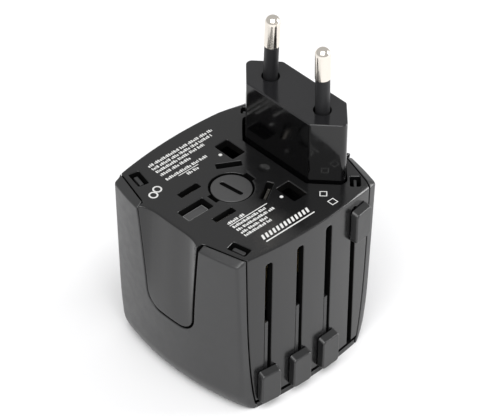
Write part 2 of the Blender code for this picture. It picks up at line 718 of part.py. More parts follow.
# ---------------------------------------------------------------- carriages
def front_strip(kind, reach_y):
    """The part of a carriage that fills the left half of its slot, and the stub that holds the knob."""
    edge = stub_range(kind)
    front = face_y(edge[0]) - 0.08
    foot = KNOB_FOOT[kind]
    strip_low = max(CARRIAGE_FLOOR, foot + 2.1)
    return [
        box(f"{kind}_strip", edge, (-front, reach_y), (strip_low, STRIP_TOP[kind]), "inner_plastic"),
        box(f"{kind}_stub", edge, (-front - 1.4, reach_y), (foot + 2.1, foot + 6.7), "inner_plastic"),
    ]


def blade(name, at, tip, root_top, angle=0.0):
    """Flat blade with a chamfered tip, standing on a narrower tang."""
    wide, thin = FLAT_BLADE
    sizes = ((3.0, 1.2, root_top - 7.0), (3.0, 1.2, root_top + 0.3), (wide, thin, root_top + 0.3),
             (wide, thin, tip - 1.2), (wide - 1.6, thin - 0.8, tip))
    rings = [[(x, y, z) for x, y in rectangle(at, (w, t), angle)] for w, t, z in sizes]
    return loft(name, rings, "nickel")


def square_pin(name, at, size, tip, root_top, slot, chamfer):
    """Rectangular pin on a narrower tang; chamfer is how far its tip is cut back sideways and down."""
    wide, thin = size
    tang = (wide - 1.6, thin - 1.6)
    aside, down = chamfer
    sizes = ((*tang, root_top - 7.0), (*tang, root_top + 0.3), (wide, thin, root_top + 0.3),
             (wide, thin, tip - down), (wide - 2 * aside, thin - 2 * aside, tip))
    rings = [[(x, y, z) for x, y in rectangle(at, (w, t))] for w, t, z in sizes]
    return loft(name, rings, slot)


def us_carriage():
    x, y = US_BLADE_AT
    top = ROOT_TOP["us"]
    floor = CARRIAGE_FLOOR
    slot = "inner_plastic"
    carriage = box("us_carriage", (-12.2, -10.6), (-7.0, 7.0), (floor, 16.0), slot)
    for sign in (-1, 1):
        at = (x, sign * y)
        fuse_with(
            carriage,
            slab(f"us_root_low_{sign}", at, (4.8, 2.5), floor, 21.0, slot),
            slab(f"us_root_{sign}", at, (7.0, 2.5), 22.0, top, slot),
            slab(f"us_root_neck_{sign}", at, (4.6, 2.3), 20.5, 22.5, slot),
        )
    fuse_with(carriage, box("us_arm", (-16.0, -14.6), (-21.4, -6.0), (floor, 15.0), slot))
    fuse_with(carriage, *front_strip("us", -20.8))
    for sign in (-1, 1):
        cut(carriage, slab(f"cut_us_tang_{sign}", (x, sign * y), TANG_POCKET, top - 7.6, top + 1, slot))
    return carriage


def au_carriage():
    x, y = AU_BLADE_AT
    top = ROOT_TOP["au"]
    floor = CARRIAGE_FLOOR
    slot = "inner_plastic"
    carriage = box("au_carriage", (0.4, 2.4), (-7.0, 7.0), (floor, 16.0), slot)
    for sign in (-1, 1):
        at = (x, sign * y)
        turn = -sign * AU_ANGLE
        fuse_with(
            carriage,
            slab(f"au_root_low_{sign}", (x + 0.1, sign * y), (3.8, 2.6), floor, 23.0, slot),
            slab(f"au_root_{sign}", at, (6.9, 2.5), 22.0, top, slot, turn),
        )
    fuse_with(
        carriage,
        box("au_arm_in", (0.3, 1.7), (-18.0, -6.5), (floor, 15.0), slot),
        box("au_arm_across", (-5.9, 1.5), (-17.8, -16.0), (floor, 14.0), slot),
    )
    fuse_with(carriage, *front_strip("au", -16.5))
    for sign in (-1, 1):
        name, turn = f"cut_au_tang_{sign}", -sign * AU_ANGLE
        cut(carriage, slab(name, (x, sign * y), TANG_POCKET, top - 7.6, top + 1, slot, turn))
    return carriage


def uk_carriage():
    """C-shaped: the earth root reaches round the other carriages to the neutral and live roots."""
    x, y = UK_LINE
    top = ROOT_TOP["uk"]
    floor = CARRIAGE_FLOOR
    slot = "inner_plastic"
    carriage = box("uk_carriage", (5.0, 6.9), (-12.0, 12.0), (floor, 14.0), slot)
    for sign in (-1, 1):
        fuse_with(carriage, slab(f"uk_root_{sign}", (x, sign * y), (4.4, 6.4), floor + 0.2, top, slot))
    fuse_with(
        carriage,
        slab("uk_root_earth", UK_EARTH, (7.9, 4.6), floor + 0.2, top, slot),
        box("uk_arm_left", (-20.5, -18.5), (-1.0, 17.6), (floor, 13.0), slot),
        box("uk_arm_back", (-20.3, 6.8), (15.8, 17.4), (floor + 0.1, 12.8), slot),
        box("uk_arm_right", (5.1, 6.7), (12.0, 17.2), (floor + 0.3, 12.6), slot),
    )
    fuse_with(carriage, *front_strip("uk", -13.5))
    for sign in (-1, 1):
        cut(carriage, slab(f"cut_uk_tang_{sign}", (x, sign * y), (2.9, 5.2), top - 7.6, top + 1, slot))
    return cut(carriage, slab("cut_earth_tang", UK_EARTH, (6.9, 2.9), top - 7.6, top + 1, slot))


def euro_block():
    """Plug block and its lower carriage in one moulding, with a well round the foot of each pin."""
    low = EURO_TOP - 20.2
    head = [[(x, y, z) for x, y in euro_outline()] for z in (low, EURO_TOP - 0.35)]
    head.append([(x, y, EURO_TOP) for x, y in euro_outline(-0.35)])
    block = loft("euro_block", head, "gloss_plastic")
    fuse_with(block, box("euro_lower", (11.2, 21.8), (-9.0, 9.0), (low - 8.0, low + 0.5), "gloss_plastic"))
    foot = KNOB_FOOT["euro"]
    edge = stub_range("euro")
    fuse_with(
        block,
        box("euro_arm", edge, (-23.3, -8.5), (foot + 2.1, 47.4), "gloss_plastic"),
        box("euro_stub", edge, (-25.1, -22.5), (foot + 2.1, foot + 6.7), "gloss_plastic"),
    )
    for sign in (-1, 1):
        base = (EURO_CENTRE, sign * (EURO_PIN_BASE + 0.17))
        well = [(2.5, EURO_TOP - 12.6), (2.5, EURO_TOP + 1.0)]
        cut(block, turned(f"cut_euro_well_{sign}", base, well, "gloss_plastic", 24))
    return block


def lean_pin(item, sign):
    """Sets a pin's parts, drawn upright at the origin, into the block, leaning towards the other pin."""
    item.location = Vector((EURO_CENTRE, sign * EURO_PIN_BASE, EURO_TOP)) * MM
    item.rotation_euler[0] = sign * math.atan((EURO_PIN_BASE - EURO_PIN_TIP) / EURO_PIN_LENGTH)
    return item


def euro_pin(name, sign):
    tip = [(2.0, 17.6), (1.85, 18.2), (1.45, 18.7), (0.8, 18.95), (0.3, 19.0)]
    profile = [(2.0, -12.0), (2.0, -2.6), (1.1, -2.6), (1.1, 9.9), (2.0, 9.9)] + tip
    return lean_pin(turned(name, (0.0, 0.0), profile, "nickel", 24), sign)


def euro_sleeve(name, sign):
    sleeve = turned(name, (0.0, 0.0), [(1.87, -2.4), (1.87, 9.7)], "gloss_plastic", 24)
    bore = turned(f"cut_bore_{sign}", (0.0, 0.0), [(1.3, -3.0), (1.3, 11.0)], "gloss_plastic", 24)
    lean_pin(bore, sign)
    return cut(lean_pin(sleeve, sign), bore)


# ---------------------------------------------------------------- the whole adapter
def build():
    for item in list(bpy.data.objects):
        bpy.data.objects.remove(item)

    main_housing()
    side_shell("side_shell_left", -1)
    side_shell("side_shell_right", 1)
    base_plate()
    socket_block()
    neutral_contact()
    live_contact()
    live_rail()
    fuse()
    fuse_spring()
    shutter_spring()
    for side, left_right in ((-1, "left"), (1, "right")):
        for sign, front_back in ((-1, "front"), (1, "back")):
            base_screw(f"base_screw_{front_back}_{left_right}", side, sign)

    group("cap_turn", [fuse_cap(), cap_contact()])
    group("shutter_slide", [shutter()])
    group("us_slide", [
        us_carriage(),
        knob("us_knob", "us"),
        blade("us_live_blade", (US_BLADE_AT[0], -US_BLADE_AT[1]), FLAT_TIP, ROOT_TOP["us"]),
        blade("us_neutral_blade", US_BLADE_AT, FLAT_TIP, ROOT_TOP["us"]),
    ])
    group("au_slide", [
        au_carriage(),
        knob("au_knob", "au"),
        blade("au_live_blade", (AU_BLADE_AT[0], -AU_BLADE_AT[1]), FLAT_TIP, ROOT_TOP["au"], AU_ANGLE),
        blade("au_neutral_blade", AU_BLADE_AT, FLAT_TIP, ROOT_TOP["au"], -AU_ANGLE),
    ])
    uk_live = (UK_LINE[0], -UK_LINE[1])
    root = ROOT_TOP["uk"]
    group("uk_slide", [
        uk_carriage(),
        knob("uk_knob", "uk"),
        square_pin("uk_live_pin", uk_live, UK_PIN, UK_LINE_TIP, root, "brass", (0.9, 1.6)),
        square_pin("uk_neutral_pin", UK_LINE, UK_PIN, UK_LINE_TIP, root, "brass", (0.9, 1.6)),
        square_pin("uk_earth_pin", UK_EARTH, UK_EARTH_PIN, FLAT_TIP, root, "inner_plastic", (0.45, 0.65)),
    ])
    euro = [euro_block(), knob("euro_knob", "euro")]
    for sign, pole in ((-1, "live"), (1, "neutral")):
        euro.append(euro_pin(f"euro_{pole}_pin", sign))
        euro.append(euro_sleeve(f"euro_{pole}_sleeve", sign))
    group("euro_slide", euro)


build()
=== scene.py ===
"""Looks of a universal travel adapter: fine surfaces, plastics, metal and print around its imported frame.

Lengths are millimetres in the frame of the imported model. +Z runs from the socket face to the plug face, and
the four slider knobs are on the -Y face. MM turns lengths into metres where a mesh is made.
"""

import json
import math

import bmesh
import bpy
from mathutils import Matrix, Vector
from mathutils.geometry import delaunay_2d_cdt


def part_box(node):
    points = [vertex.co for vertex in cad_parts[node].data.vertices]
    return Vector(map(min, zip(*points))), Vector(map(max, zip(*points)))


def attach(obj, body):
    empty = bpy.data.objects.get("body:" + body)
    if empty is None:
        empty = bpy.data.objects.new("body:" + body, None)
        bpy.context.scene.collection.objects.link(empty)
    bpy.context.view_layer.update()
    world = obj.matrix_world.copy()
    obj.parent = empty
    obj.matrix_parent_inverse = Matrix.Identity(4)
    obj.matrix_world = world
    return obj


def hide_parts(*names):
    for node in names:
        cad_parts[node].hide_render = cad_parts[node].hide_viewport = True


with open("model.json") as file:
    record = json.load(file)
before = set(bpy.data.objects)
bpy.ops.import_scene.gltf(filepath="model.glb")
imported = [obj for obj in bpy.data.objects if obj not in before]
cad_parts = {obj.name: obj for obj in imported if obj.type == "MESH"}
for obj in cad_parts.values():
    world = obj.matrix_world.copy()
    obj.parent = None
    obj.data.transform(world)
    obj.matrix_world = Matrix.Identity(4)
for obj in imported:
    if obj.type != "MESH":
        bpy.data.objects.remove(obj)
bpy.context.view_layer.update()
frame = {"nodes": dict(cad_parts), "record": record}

MM = 0.001

# ---- driving dimensions
BODY_HEIGHT = 51.0
FACE_HALF_DEPTH = 24.7  # plug face centre to the front or back wall
FACE_RADIUS = 119.0  # plan radius of the front and back walls
SIDE_HALF_WIDTH = 27.3  # plan centre to the crown of a side shell, at the top
SIDE_RADIUS = 75.4  # plan radius of the side shells
SIDE_TAPER = 2.2  # how much nearer the centre plane a side shell is at its foot
FOOT_HEIGHT = 6.0  # below this a side shell curls in, on FOOT_RADIUS
FOOT_RADIUS = 7.8
SHELL_WALL = 2.0
RIGHT_SHELL_WALL = 0.8  # thin, because the Euro block slides behind it
LIP_DROP = 1.2  # fall of a shell's bevelled lip from the plug face
SEAM_AT_TOP = 21.35  # half width of the front wall at the plug face
SEAM_TAPER = 1.3  # what it loses evenly on the way down
SEAM_CURL = 2.4  # what it loses besides, mostly near the foot
SEAM_GAP = 0.35
PLATE = 2.2  # thickness of the plug face
WALL = 1.8  # thickness of the front and back walls
WALL_FOOT = 2.7  # height at which these walls end

TONGUE_HALF_WIDTH = 8.6  # a thumb dish at its foot
TONGUE_FLARE = 2.45  # what each half gains on the way up
TONGUE_FLARE_POWER = 1.15
TONGUE_CORNER = 5.0
TONGUE_BOTTOM = 20.1
TONGUE_SIDE = 10.7  # half width where a tongue leaves the plug face
TONGUE_RECESS = 2.3  # depth of the thumb dish at the plug face
DISH_RISE = 1.2  # power by which the dish deepens on the way up
DISH_FLATNESS = 4  # power by which its floor turns up at the sides
TONGUE_GAP = 0.45  # seam between a tongue and its shell
TONGUE_WALL = 1.5
TONGUE_THINNEST = 0.4
EURO_CLEAR_X = 24.15  # the Euro block passes inside this

FACET_START = (12.0, 24.3)  # where the bevel of a +X corner begins, as (x, |y|)
FACET_RUN = (9.3, -3.0)  # from there to its other end
FACET_SLOPE = 0.608
FACET_FADE = 10.0  # the bevel dies out this far down the wall
DIMPLE_AT = (6.4, 0.0)
DIMPLE_RADIUS = 1.7
DIMPLE_DEPTH = 0.55

KNOB_KINDS = ("us", "au", "uk", "euro")
SLOT_X = {"us": -14.45, "au": -4.55, "uk": 5.3, "euro": 14.7}
SLOT_WIDTH = {"us": 2.15, "au": 2.15, "uk": 2.15, "euro": 1.75}
SLOT_TOP = {"us": 47.0, "au": 47.2, "uk": 47.9, "euro": 48.3}
SLOT_ROUNDING = 0.75  # radius of a slot's top corners, as a share of its half width
KNOB_X = {"us": -14.45, "au": -4.55, "uk": 5.3, "euro": 16.4}
KNOB_ROOT = 0.25  # from the wall to the back of a knob's cap
KNOB_REACH = 2.15  # from the wall to its face
KNOB_SOFT = 0.45  # radius of the edges round its face
KNOB_HALF_WIDTH = 3.03
KNOB_DRAFT = 0.05
KNOB_SLOPE = 0.5  # fall of its top towards the face
KNOB_DROP = 0.4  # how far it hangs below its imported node
KNOB_CORNER = 0.95

WINDOW_AT = {-1: (19.3, 18.2), 1: (19.5, 19.25)}  # corner windows of the -X and the +X side
WINDOW_SIZE = {-1: (3.0, 5.3), 1: (2.6, 3.9)}
WINDOW_ANGLE = {-1: 13.0, 1: 43.0}
WINDOW_CORNER = 0.35
WINDOW_RIM = 0.3
FINGER_SIZE = {-1: (1.2, 3.5), 1: (0.8, 3.0)}
FINGER_DROP = 0.7  # from the plug face to a finger's top
FINGER_LENGTH = 4.0

EARTH_PIN = (7.9, 3.9)
EARTH_HOLE = (8.3, 4.3)
UK_HOLE = (4.3, 6.6)
US_HOLE = (6.6, 1.9)
AU_HOLE = (6.7, 1.95)
AU_ANGLE = 30.0
PIN_HOLE_RIM = 0.25
BLADE_HOLE_RIM = 0.15
BLADE_HOLE_CORNER = 0.2

CAP_HOLE = 5.8
CAP_RIM = 0.15
CAP_RADIUS = 5.27
CAP_DISC = 0.95  # thickness of the cap's disc, which its slot goes through
CAP_STEM_RADIUS = 2.4
CAP_STEM_FOOT = 47.6
CAP_FLOOR = 49.0  # height of the surface under the disc
LUG_HALF_WIDTH = 1.0
LUG_REACH = 6.1
LUG_HEIGHTS = (48.7, 49.6)
CAP_SLOT = (2.95, 0.6)  # centre to the end arcs of the screwdriver slot, and its half width
CAP_SLOT_ANGLE = 7.5
CAP_GATE = (6.75, 1.6)  # reach and half width of the two gates in the cap's hole

EURO_HALF_WIDTH = 6.45
EURO_FLAT = 11.3  # half length of the block's long sides
EURO_POINT = 18.23  # where the slanted ends would meet
EURO_CORNER = 1.0
EURO_TIP_CORNER = 1.6
EURO_HEIGHT = 20.2
EURO_GAP = 0.35
EURO_GAP_AT_CAP = 0.5  # what the opening gains on the fuse cap's side
EURO_RIM = 0.1
EURO_HOLE_END = 23.85  # the opening stops here, inside the +X tongue
EURO_STEM_X = (11.2, 21.8)  # the part below the head
EURO_STEM_HALF = 9.0
EURO_STEM = 8.0
EURO_ARM = 1.0  # thickness of the arm that carries the knob
EURO_ARM_Y = (-23.3, -8.5)
EURO_STUB_Y = (-25.1, -22.8)  # the end of the arm, in the knob's slot
EURO_WELL = (9.2, 2.32)  # distance from the middle and radius of the wells round the pins
PIN_RADIUS = 2.0
PIN_NECK = 1.1  # radius under the sleeve
PIN_NOSE = 1.95  # height of its rounded tip
PIN_LENGTH = 19.0
PIN_FOOT = -12.0  # heights of a pin and its sleeve are above the block
NECK_SPAN = (-2.6, 9.9)
SLEEVE_SPAN = (-2.4, 9.7)
SLEEVE_RADII = (1.3, 1.87)
SLEEVE_CHAMFER = 0.08
PIN_AT_BASE = 9.3  # distance of a pin from the middle of the block
PIN_AT_TIP = 8.75


def node_box(node):
    """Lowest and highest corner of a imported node, in millimetres."""
    low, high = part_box(node)
    return low / MM, high / MM


def node_centre(node):
    low, high = node_box(node)
    return (low + high) / 2


FUSE_CENTRE = tuple(node_centre("fuse_cap"))[:2]
EURO_CENTRE = node_centre("euro_live_pin").x
EURO_TOP = node_box("euro_block")[1].z


# ---- camera, floor and light
CAMERA_AT = (-457.6, -473.1, 603.1)
CAMERA_BACK = (-0.52991, -0.54570, 0.64915)  # from the adapter towards the camera
CAMERA_RIGHT = (0.72367, -0.69006, 0.01065)
CAMERA_UP = (0.44215, 0.47541, 0.76058)
SENSOR_WIDTH = 36.0
FOCAL_LENGTH = 248.3
FLOOR_RADIUS = 4.0  # metres, as are the places and sizes of the lights
FLOOR_COLOUR = (0.82, 0.82, 0.825)
SKY_STRENGTH = 0.6
LIGHTS = (  # name, place, size and watts
    ("high_left", (-0.5, -0.4, 1.0), (1.1, 1.1), 15.0),
    ("right_fill", (0.8, -0.5, 0.25), (0.5, 0.6), 8.0),
)
LIT_POINT = (0, 0, 0.03)


def make_camera():
    camera = bpy.data.objects.new("camera", bpy.data.cameras.new("camera"))
    bpy.context.scene.collection.objects.link(camera)
    camera.location = Vector(CAMERA_AT) * MM
    camera.rotation_mode = "QUATERNION"
    camera.rotation_quaternion = Matrix((CAMERA_RIGHT, CAMERA_UP, CAMERA_BACK)).transposed().to_quaternion()
    camera.data.sensor_width = SENSOR_WIDTH
    camera.data.lens = FOCAL_LENGTH
    camera.data.clip_start = 0.01
    camera.data.clip_end = 20.0
    bpy.context.scene.camera = camera


def soft_light(name, place, size, watts):
    lamp = bpy.data.lights.new(name, "AREA")
    lamp.shape = "RECTANGLE"
    lamp.size, lamp.size_y = size
    lamp.energy = watts
    item = bpy.data.objects.new(name, lamp)
    bpy.context.scene.collection.objects.link(item)
    item.location = place
    item.rotation_mode = "QUATERNION"
    item.rotation_quaternion = (Vector(place) - Vector(LIT_POINT)).to_track_quat("Z", "Y")


def make_floor():
    bm = bmesh.new()
    bmesh.ops.create_circle(bm, cap_ends=True, segments=64, radius=FLOOR_RADIUS)
    mesh = bpy.data.meshes.new("floor")
    bm.to_mesh(mesh)
    bm.free()
    floor = bpy.data.objects.new("floor", mesh)
    bpy.context.scene.collection.objects.link(floor)
    paint = bpy.data.materials.new("floor_white")
    paint.use_nodes = True
    shader = paint.node_tree.nodes["Principled BSDF"]
    shader.inputs["Base Color"].default_value = (*FLOOR_COLOUR, 1)
    shader.inputs["Roughness"].default_value = 0.9
    shader.inputs["Specular IOR Level"].default_value = 0.1
    mesh.materials.append(paint)


def make_light():
    world = bpy.data.worlds.new("studio")
    bpy.context.scene.world = world
    world.use_nodes = True
    sky = world.node_tree.nodes["Background"]
    sky.inputs["Color"].default_value = (1.0, 1.0, 1.0, 1)
    sky.inputs["Strength"].default_value = SKY_STRENGTH
    bpy.context.scene.view_settings.view_transform = "Standard"
    for light in LIGHTS:
        soft_light(*light)


# ---- materials
FLOW_SCALE = 90.0  # noise scales are per metre
PATCH_SCALE = 420.0
GRAIN_SCALE = 2600.0
DRAW_SCALE = 40.0
GRAIN_HEIGHT = 0.0001  # metres
DRAW_HEIGHT = 0.00004


def wire_noise(tree, coordinates, scale, detail=2.0, roughness=0.5):
    noise = tree.nodes.new("ShaderNodeTexNoise")
    noise.inputs["Scale"].default_value = scale
    noise.inputs["Detail"].default_value = detail
    noise.inputs["Roughness"].default_value = roughness
    tree.links.new(coordinates, noise.inputs["Vector"])
    return noise.outputs["Fac"]


def wire_range(tree, value, low, high, to_low, to_high):
    spread = tree.nodes.new("ShaderNodeMapRange")
    for name, number in (("From Min", low), ("From Max", high), ("To Min", to_low), ("To Max", to_high)):
        spread.inputs[name].default_value = number
    tree.links.new(value, spread.inputs["Value"])
    return spread.outputs["Result"]


def wire_tone(tree, factor, dark, light):
    mix = tree.nodes.new("ShaderNodeMix")
    mix.data_type = "RGBA"
    mix.inputs["A"].default_value = (*dark, 1)
    mix.inputs["B"].default_value = (*light, 1)
    tree.links.new(factor, mix.inputs["Factor"])
    return mix.outputs["Result"]


def wire_bump(tree, height, strength, distance):
    bump = tree.nodes.new("ShaderNodeBump")
    bump.inputs["Strength"].default_value = strength
    bump.inputs["Distance"].default_value = distance
    tree.links.new(height, bump.inputs["Height"])
    return bump.outputs["Normal"]


def new_material(name):
    made = bpy.data.materials.new(name)
    made.use_nodes = True
    tree = made.node_tree
    place = tree.nodes.new("ShaderNodeTexCoord").outputs["Object"]
    return made, tree, tree.nodes["Principled BSDF"], place


def plastic(name, colour, roughness, grain=GRAIN_SCALE, grain_depth=0.10, specular=0.5, variation=0.08):
    """Moulded plastic: fine spark-eroded grain, faint flow marks and uneven sheen."""
    made, tree, shader, place = new_material(name)
    shader.inputs["Specular IOR Level"].default_value = specular
    flow = wire_noise(tree, place, FLOW_SCALE, 4.0)
    dark = [c * (1 - variation) for c in colour]
    light = [c * (1 + variation) for c in colour]
    tree.links.new(wire_tone(tree, flow, dark, light), shader.inputs["Base Color"])
    patches = wire_noise(tree, place, PATCH_SCALE, 3.0)
    sheen = wire_range(tree, patches, 0.3, 0.7, roughness - 0.04, roughness + 0.04)
    tree.links.new(sheen, shader.inputs["Roughness"])
    fine = wire_noise(tree, place, grain, 3.0, 0.6)
    tree.links.new(wire_bump(tree, fine, grain_depth, GRAIN_HEIGHT), shader.inputs["Normal"])
    return made


def metal(name, colour, roughness, streak=(60.0, 60.0, 9.0), variation=0.06):
    """Plated or rolled metal, with fine draw marks along Z."""
    made, tree, shader, place = new_material(name)
    shader.inputs["Metallic"].default_value = 1.0
    stretch = tree.nodes.new("ShaderNodeMapping")
    stretch.inputs["Scale"].default_value = streak
    tree.links.new(place, stretch.inputs["Vector"])
    marks = wire_noise(tree, stretch.outputs["Vector"], DRAW_SCALE, 5.0, 0.6)
    dark = [c * (1 - variation) for c in colour]
    light = [min(1.0, c * (1 + variation)) for c in colour]
    tree.links.new(wire_tone(tree, marks, dark, light), shader.inputs["Base Color"])
    sheen = wire_range(tree, marks, 0.3, 0.7, max(0.03, roughness - 0.05), roughness + 0.06)
    tree.links.new(sheen, shader.inputs["Roughness"])
    tree.links.new(wire_bump(tree, marks, 0.12, DRAW_HEIGHT), shader.inputs["Normal"])
    return made


def glass(name):
    """Fuse glass, clear with a faint uneven draw."""
    made, tree, shader, place = new_material(name)
    shader.inputs["Transmission Weight"].default_value = 0.85
    shader.inputs["IOR"].default_value = 1.47
    draw = wire_noise(tree, place, 200.0, 2.0)
    tone = wire_tone(tree, draw, (0.78, 0.82, 0.83), (0.86, 0.89, 0.90))
    tree.links.new(tone, shader.inputs["Base Color"])
    tree.links.new(wire_range(tree, draw, 0.2, 0.8, 0.04, 0.09), shader.inputs["Roughness"])
    return made


PLASTICS = {  # colour, roughness and what differs from the usual grain and sheen
    "housing_plastic": ((0.006, 0.006, 0.0063), 0.20, {"specular": 0.56}),
    "shell_plastic": ((0.018, 0.0183, 0.019), 0.35, {"specular": 0.56}),
    "knob_plastic": ((0.010, 0.0102, 0.0105), 0.34, {"specular": 0.58}),
    "cap_plastic": ((0.040, 0.040, 0.0405), 0.40,
                    {"grain": 1500.0, "grain_depth": 0.3, "specular": 0.6, "variation": 0.18}),
    "gloss_plastic": ((0.010, 0.010, 0.011), 0.14, {"grain": 900.0, "grain_depth": 0.03}),
    "inner_plastic": ((0.008, 0.008, 0.0085), 0.3, {"specular": 0.55}),
    "white_print": ((0.62, 0.62, 0.61), 0.6,
                    {"grain": 1800.0, "grain_depth": 0.2, "specular": 0.3, "variation": 0.12}),
    "sleeve_plastic": ((0.010, 0.010, 0.011), 0.45, {"grain": 2000.0, "grain_depth": 0.08, "specular": 0.3}),
    # painted shade: a near-black, matt finish for the walls of openings, the edges and the undersides of
    # skins, where shade falls
    "painted_shade_plastic": ((0.002, 0.002, 0.002), 0.8, {"grain": 900.0, "grain_depth": 0.2, "specular": 0.08}),
    # partly painted shade: the Euro block's sides and wells are a darker copy of its gloss plastic; their
    # lower roughness is real
    "block_side_painted_shade": ((0.002, 0.002, 0.0022), 0.11, {"grain": 300.0, "grain_depth": 0.02}),
    "earth_pin_plastic": ((0.05, 0.05, 0.051), 0.4, {"specular": 0.45}),
    # painted highlight: a pale finish for the chamfer round the earth pin's tip, where light catches it
    "pin_edge_painted_highlight": ((0.2, 0.2, 0.2), 0.5, {"grain": 1800.0}),
}
METALS = {  # colour and roughness
    "nickel": ((0.80, 0.75, 0.68), 0.13),
    "brass": ((0.64, 0.48, 0.21), 0.3),
    "steel": ((0.62, 0.62, 0.64), 0.28),
}


def make_materials():
    """A finish for each slot of the record, and for surfaces that are not a slot of their own."""
    made = {name: plastic(name, *look, **more) for name, (*look, more) in PLASTICS.items()}
    made.update({name: metal(name, *look) for name, look in METALS.items()})
    made["fuse_glass"] = glass("fuse_glass")
    return made


# ---- outlines
SHARPEST_MITRE = 0.35  # keeps the mitre of a very sharp corner short


def arc(centre, radius, start, end, steps):
    points = []
    for i in range(steps + 1):
        angle = math.radians(start + (end - start) * i / steps)
        points.append(Vector((centre[0] + radius * math.cos(angle), centre[1] + radius * math.sin(angle))))
    return points


def circle(centre, radius, count=64):
    return arc(centre, radius, 0, 360, count)[:-1]


def rounded(corners, radii, steps=4):
    """A polygon with each corner turned into an arc of its radius."""
    corners = [Vector(c) for c in corners]
    points = []
    for i, corner in enumerate(corners):
        before = (corners[i - 1] - corner).normalized()
        after = (corners[(i + 1) % len(corners)] - corner).normalized()
        radius = radii[i % len(radii)]
        half = before.angle(after) / 2
        centre = corner + (before + after).normalized() * (radius / math.sin(half))
        first = corner + before * (radius / math.tan(half)) - centre
        last = corner + after * (radius / math.tan(half)) - centre
        turn = first.angle_signed(last)
        for step in range(steps + 1):
            spin = Matrix.Rotation(-turn * step / steps, 2)
            points.append(centre + spin @ first)
    return points


def rectangle(centre, size, angle=0.0, corner=0.3, steps=3):
    """Anticlockwise rectangle with rounded corners."""
    turn = Matrix.Rotation(math.radians(angle), 2)
    corners = []
    for sx, sy in ((-1, -1), (1, -1), (1, 1), (-1, 1)):
        corners.append(Vector(centre) + turn @ Vector((sx * size[0] / 2, sy * size[1] / 2)))
    return rounded(corners, [corner], steps)


def euro_outline(grow=0.0):
    half, flat, point = EURO_HALF_WIDTH + grow, EURO_FLAT + 0.4 * grow, EURO_POINT + 1.4 * grow
    corners = [(half, -flat), (half, flat), (0, point), (-half, flat), (-half, -flat), (0, -point)]
    corners = [(EURO_CENTRE + x, y) for x, y in corners]
    return rounded(corners, [EURO_CORNER, EURO_CORNER, EURO_TIP_CORNER], 6)


def moved_left(points, distance):
    """The loop moved to its left by distance, mitred at its corners."""
    moved = []
    for i, point in enumerate(points):
        before = (point - points[i - 1]).normalized()
        after = (points[(i + 1) % len(points)] - point).normalized()
        left = Vector((-before.y - after.y, before.x + after.x))
        moved.append(point + left * distance / max(SHARPEST_MITRE, 1 + before.dot(after)))
    return moved


# ---- mesh building
CLOSEST_POINTS = 1e-7  # points nearer than this are one when a face is filled
RIM_ANGLES = (0, 22.5, 45, 67.5, 90)
SHARP_ANGLE = 35


def steps_between(low, high, step):
    count = max(1, round(abs(high - low) / step))
    return [low + (high - low) * i / count for i in range(count + 1)]


def is_inside(point, ring):
    """Whether a point of the flat layout lies inside a ring of vertices."""
    crossings = 0
    for i, vert in enumerate(ring):
        a, b = ring[i - 1].co, vert.co
        if (a.y > point.y) != (b.y > point.y):
            crossings += point.x < a.x + (point.y - a.y) / (b.y - a.y) * (b.x - a.x)
    return crossings % 2 == 1


def fill(bm, rings, sign, finish=0):
    """Triangles between the first ring and the holes that the others bound, facing up or down with sign."""
    verts = [v for ring in rings for v in ring]
    edges, start = [], 0
    for ring in rings:
        edges += [(start + i, start + (i + 1) % len(ring)) for i in range(len(ring))]
        start += len(ring)
    inside_outline = 1
    found = delaunay_2d_cdt([v.co.xy for v in verts], edges, [], inside_outline, CLOSEST_POINTS)
    triangles, origins = found[2], found[3]
    for triangle in triangles:
        corners = [verts[origins[k][0]] for k in triangle]
        middle = (corners[0].co + corners[1].co + corners[2].co) / 3
        if any(is_inside(middle, ring) for ring in rings[1:]):
            continue
        upward = (corners[1].co - corners[0].co).cross(corners[2].co - corners[0].co).z * sign
        face = bm.faces.new(corners if upward > 0 else reversed(corners))
        face.material_index = finish


def panel(
    outline, holes, thickness, place, rim=0.2, hole_rims=None, cuts=((), ()), lines=(), second_wall=False
):
    """A closed mesh laid out flat as (u, w, depth) and bent to shape by place.

    outline runs anticlockwise. The outer edges of the outline and of every hole are rounded over their rim.
    cuts are the u and the w at which the flat layout is divided before it is bent, and lines are slanted
    cuts, each through two points. With the last flag set, the walls and the underside take the second finish,
    which paints shade on them.
    """
    bm = bmesh.new()
    loops = [(list(outline), rim)]
    for i, hole in enumerate(holes):
        loops.append((list(reversed(hole)), hole_rims[i] if hole_rims else rim))
    top_rings, bottom_rings = [], []
    for loop, width in loops:
        rings = []
        for angle in RIM_ANGLES:
            a = math.radians(angle)
            ring = moved_left(loop, width * (1 - math.sin(a)))
            depth = width * (1 - math.cos(a))
            rings.append([bm.verts.new((p.x, p.y, -depth)) for p in ring])
        rings.append([bm.verts.new((p.x, p.y, -thickness)) for p in loop])
        for upper, lower in zip(rings, rings[1:]):
            for i in range(len(upper)):
                j = (i + 1) % len(upper)
                face = bm.faces.new((upper[i], lower[i], lower[j], upper[j]))
                if second_wall and lower is rings[-1]:
                    face.material_index = 1
        top_rings.append(rings[0])
        bottom_rings.append(rings[-1])
    fill(bm, top_rings, 1)
    fill(bm, bottom_rings, -1, int(second_wall))
    planes = [((u, 0, 0), (1, 0, 0)) for u in cuts[0]]
    planes += [((0, w, 0), (0, 1, 0)) for w in cuts[1]]
    for (u0, w0), (u1, w1) in lines:
        planes.append(((u0, w0, 0), (w1 - w0, u0 - u1, 0)))
    for point, normal in planes:
        everything = bm.verts[:] + bm.edges[:] + bm.faces[:]
        bmesh.ops.bisect_plane(bm, geom=everything, dist=1e-4, plane_co=point, plane_no=normal)
    for vert in bm.verts:
        vert.co = Vector(place(vert.co.x, vert.co.y, -vert.co.z)) * MM
    return as_mesh(bm)


def as_mesh(bm):
    bmesh.ops.recalc_face_normals(bm, faces=bm.faces)
    mesh = bpy.data.meshes.new("part")
    bm.to_mesh(mesh)
    bm.free()
    return mesh


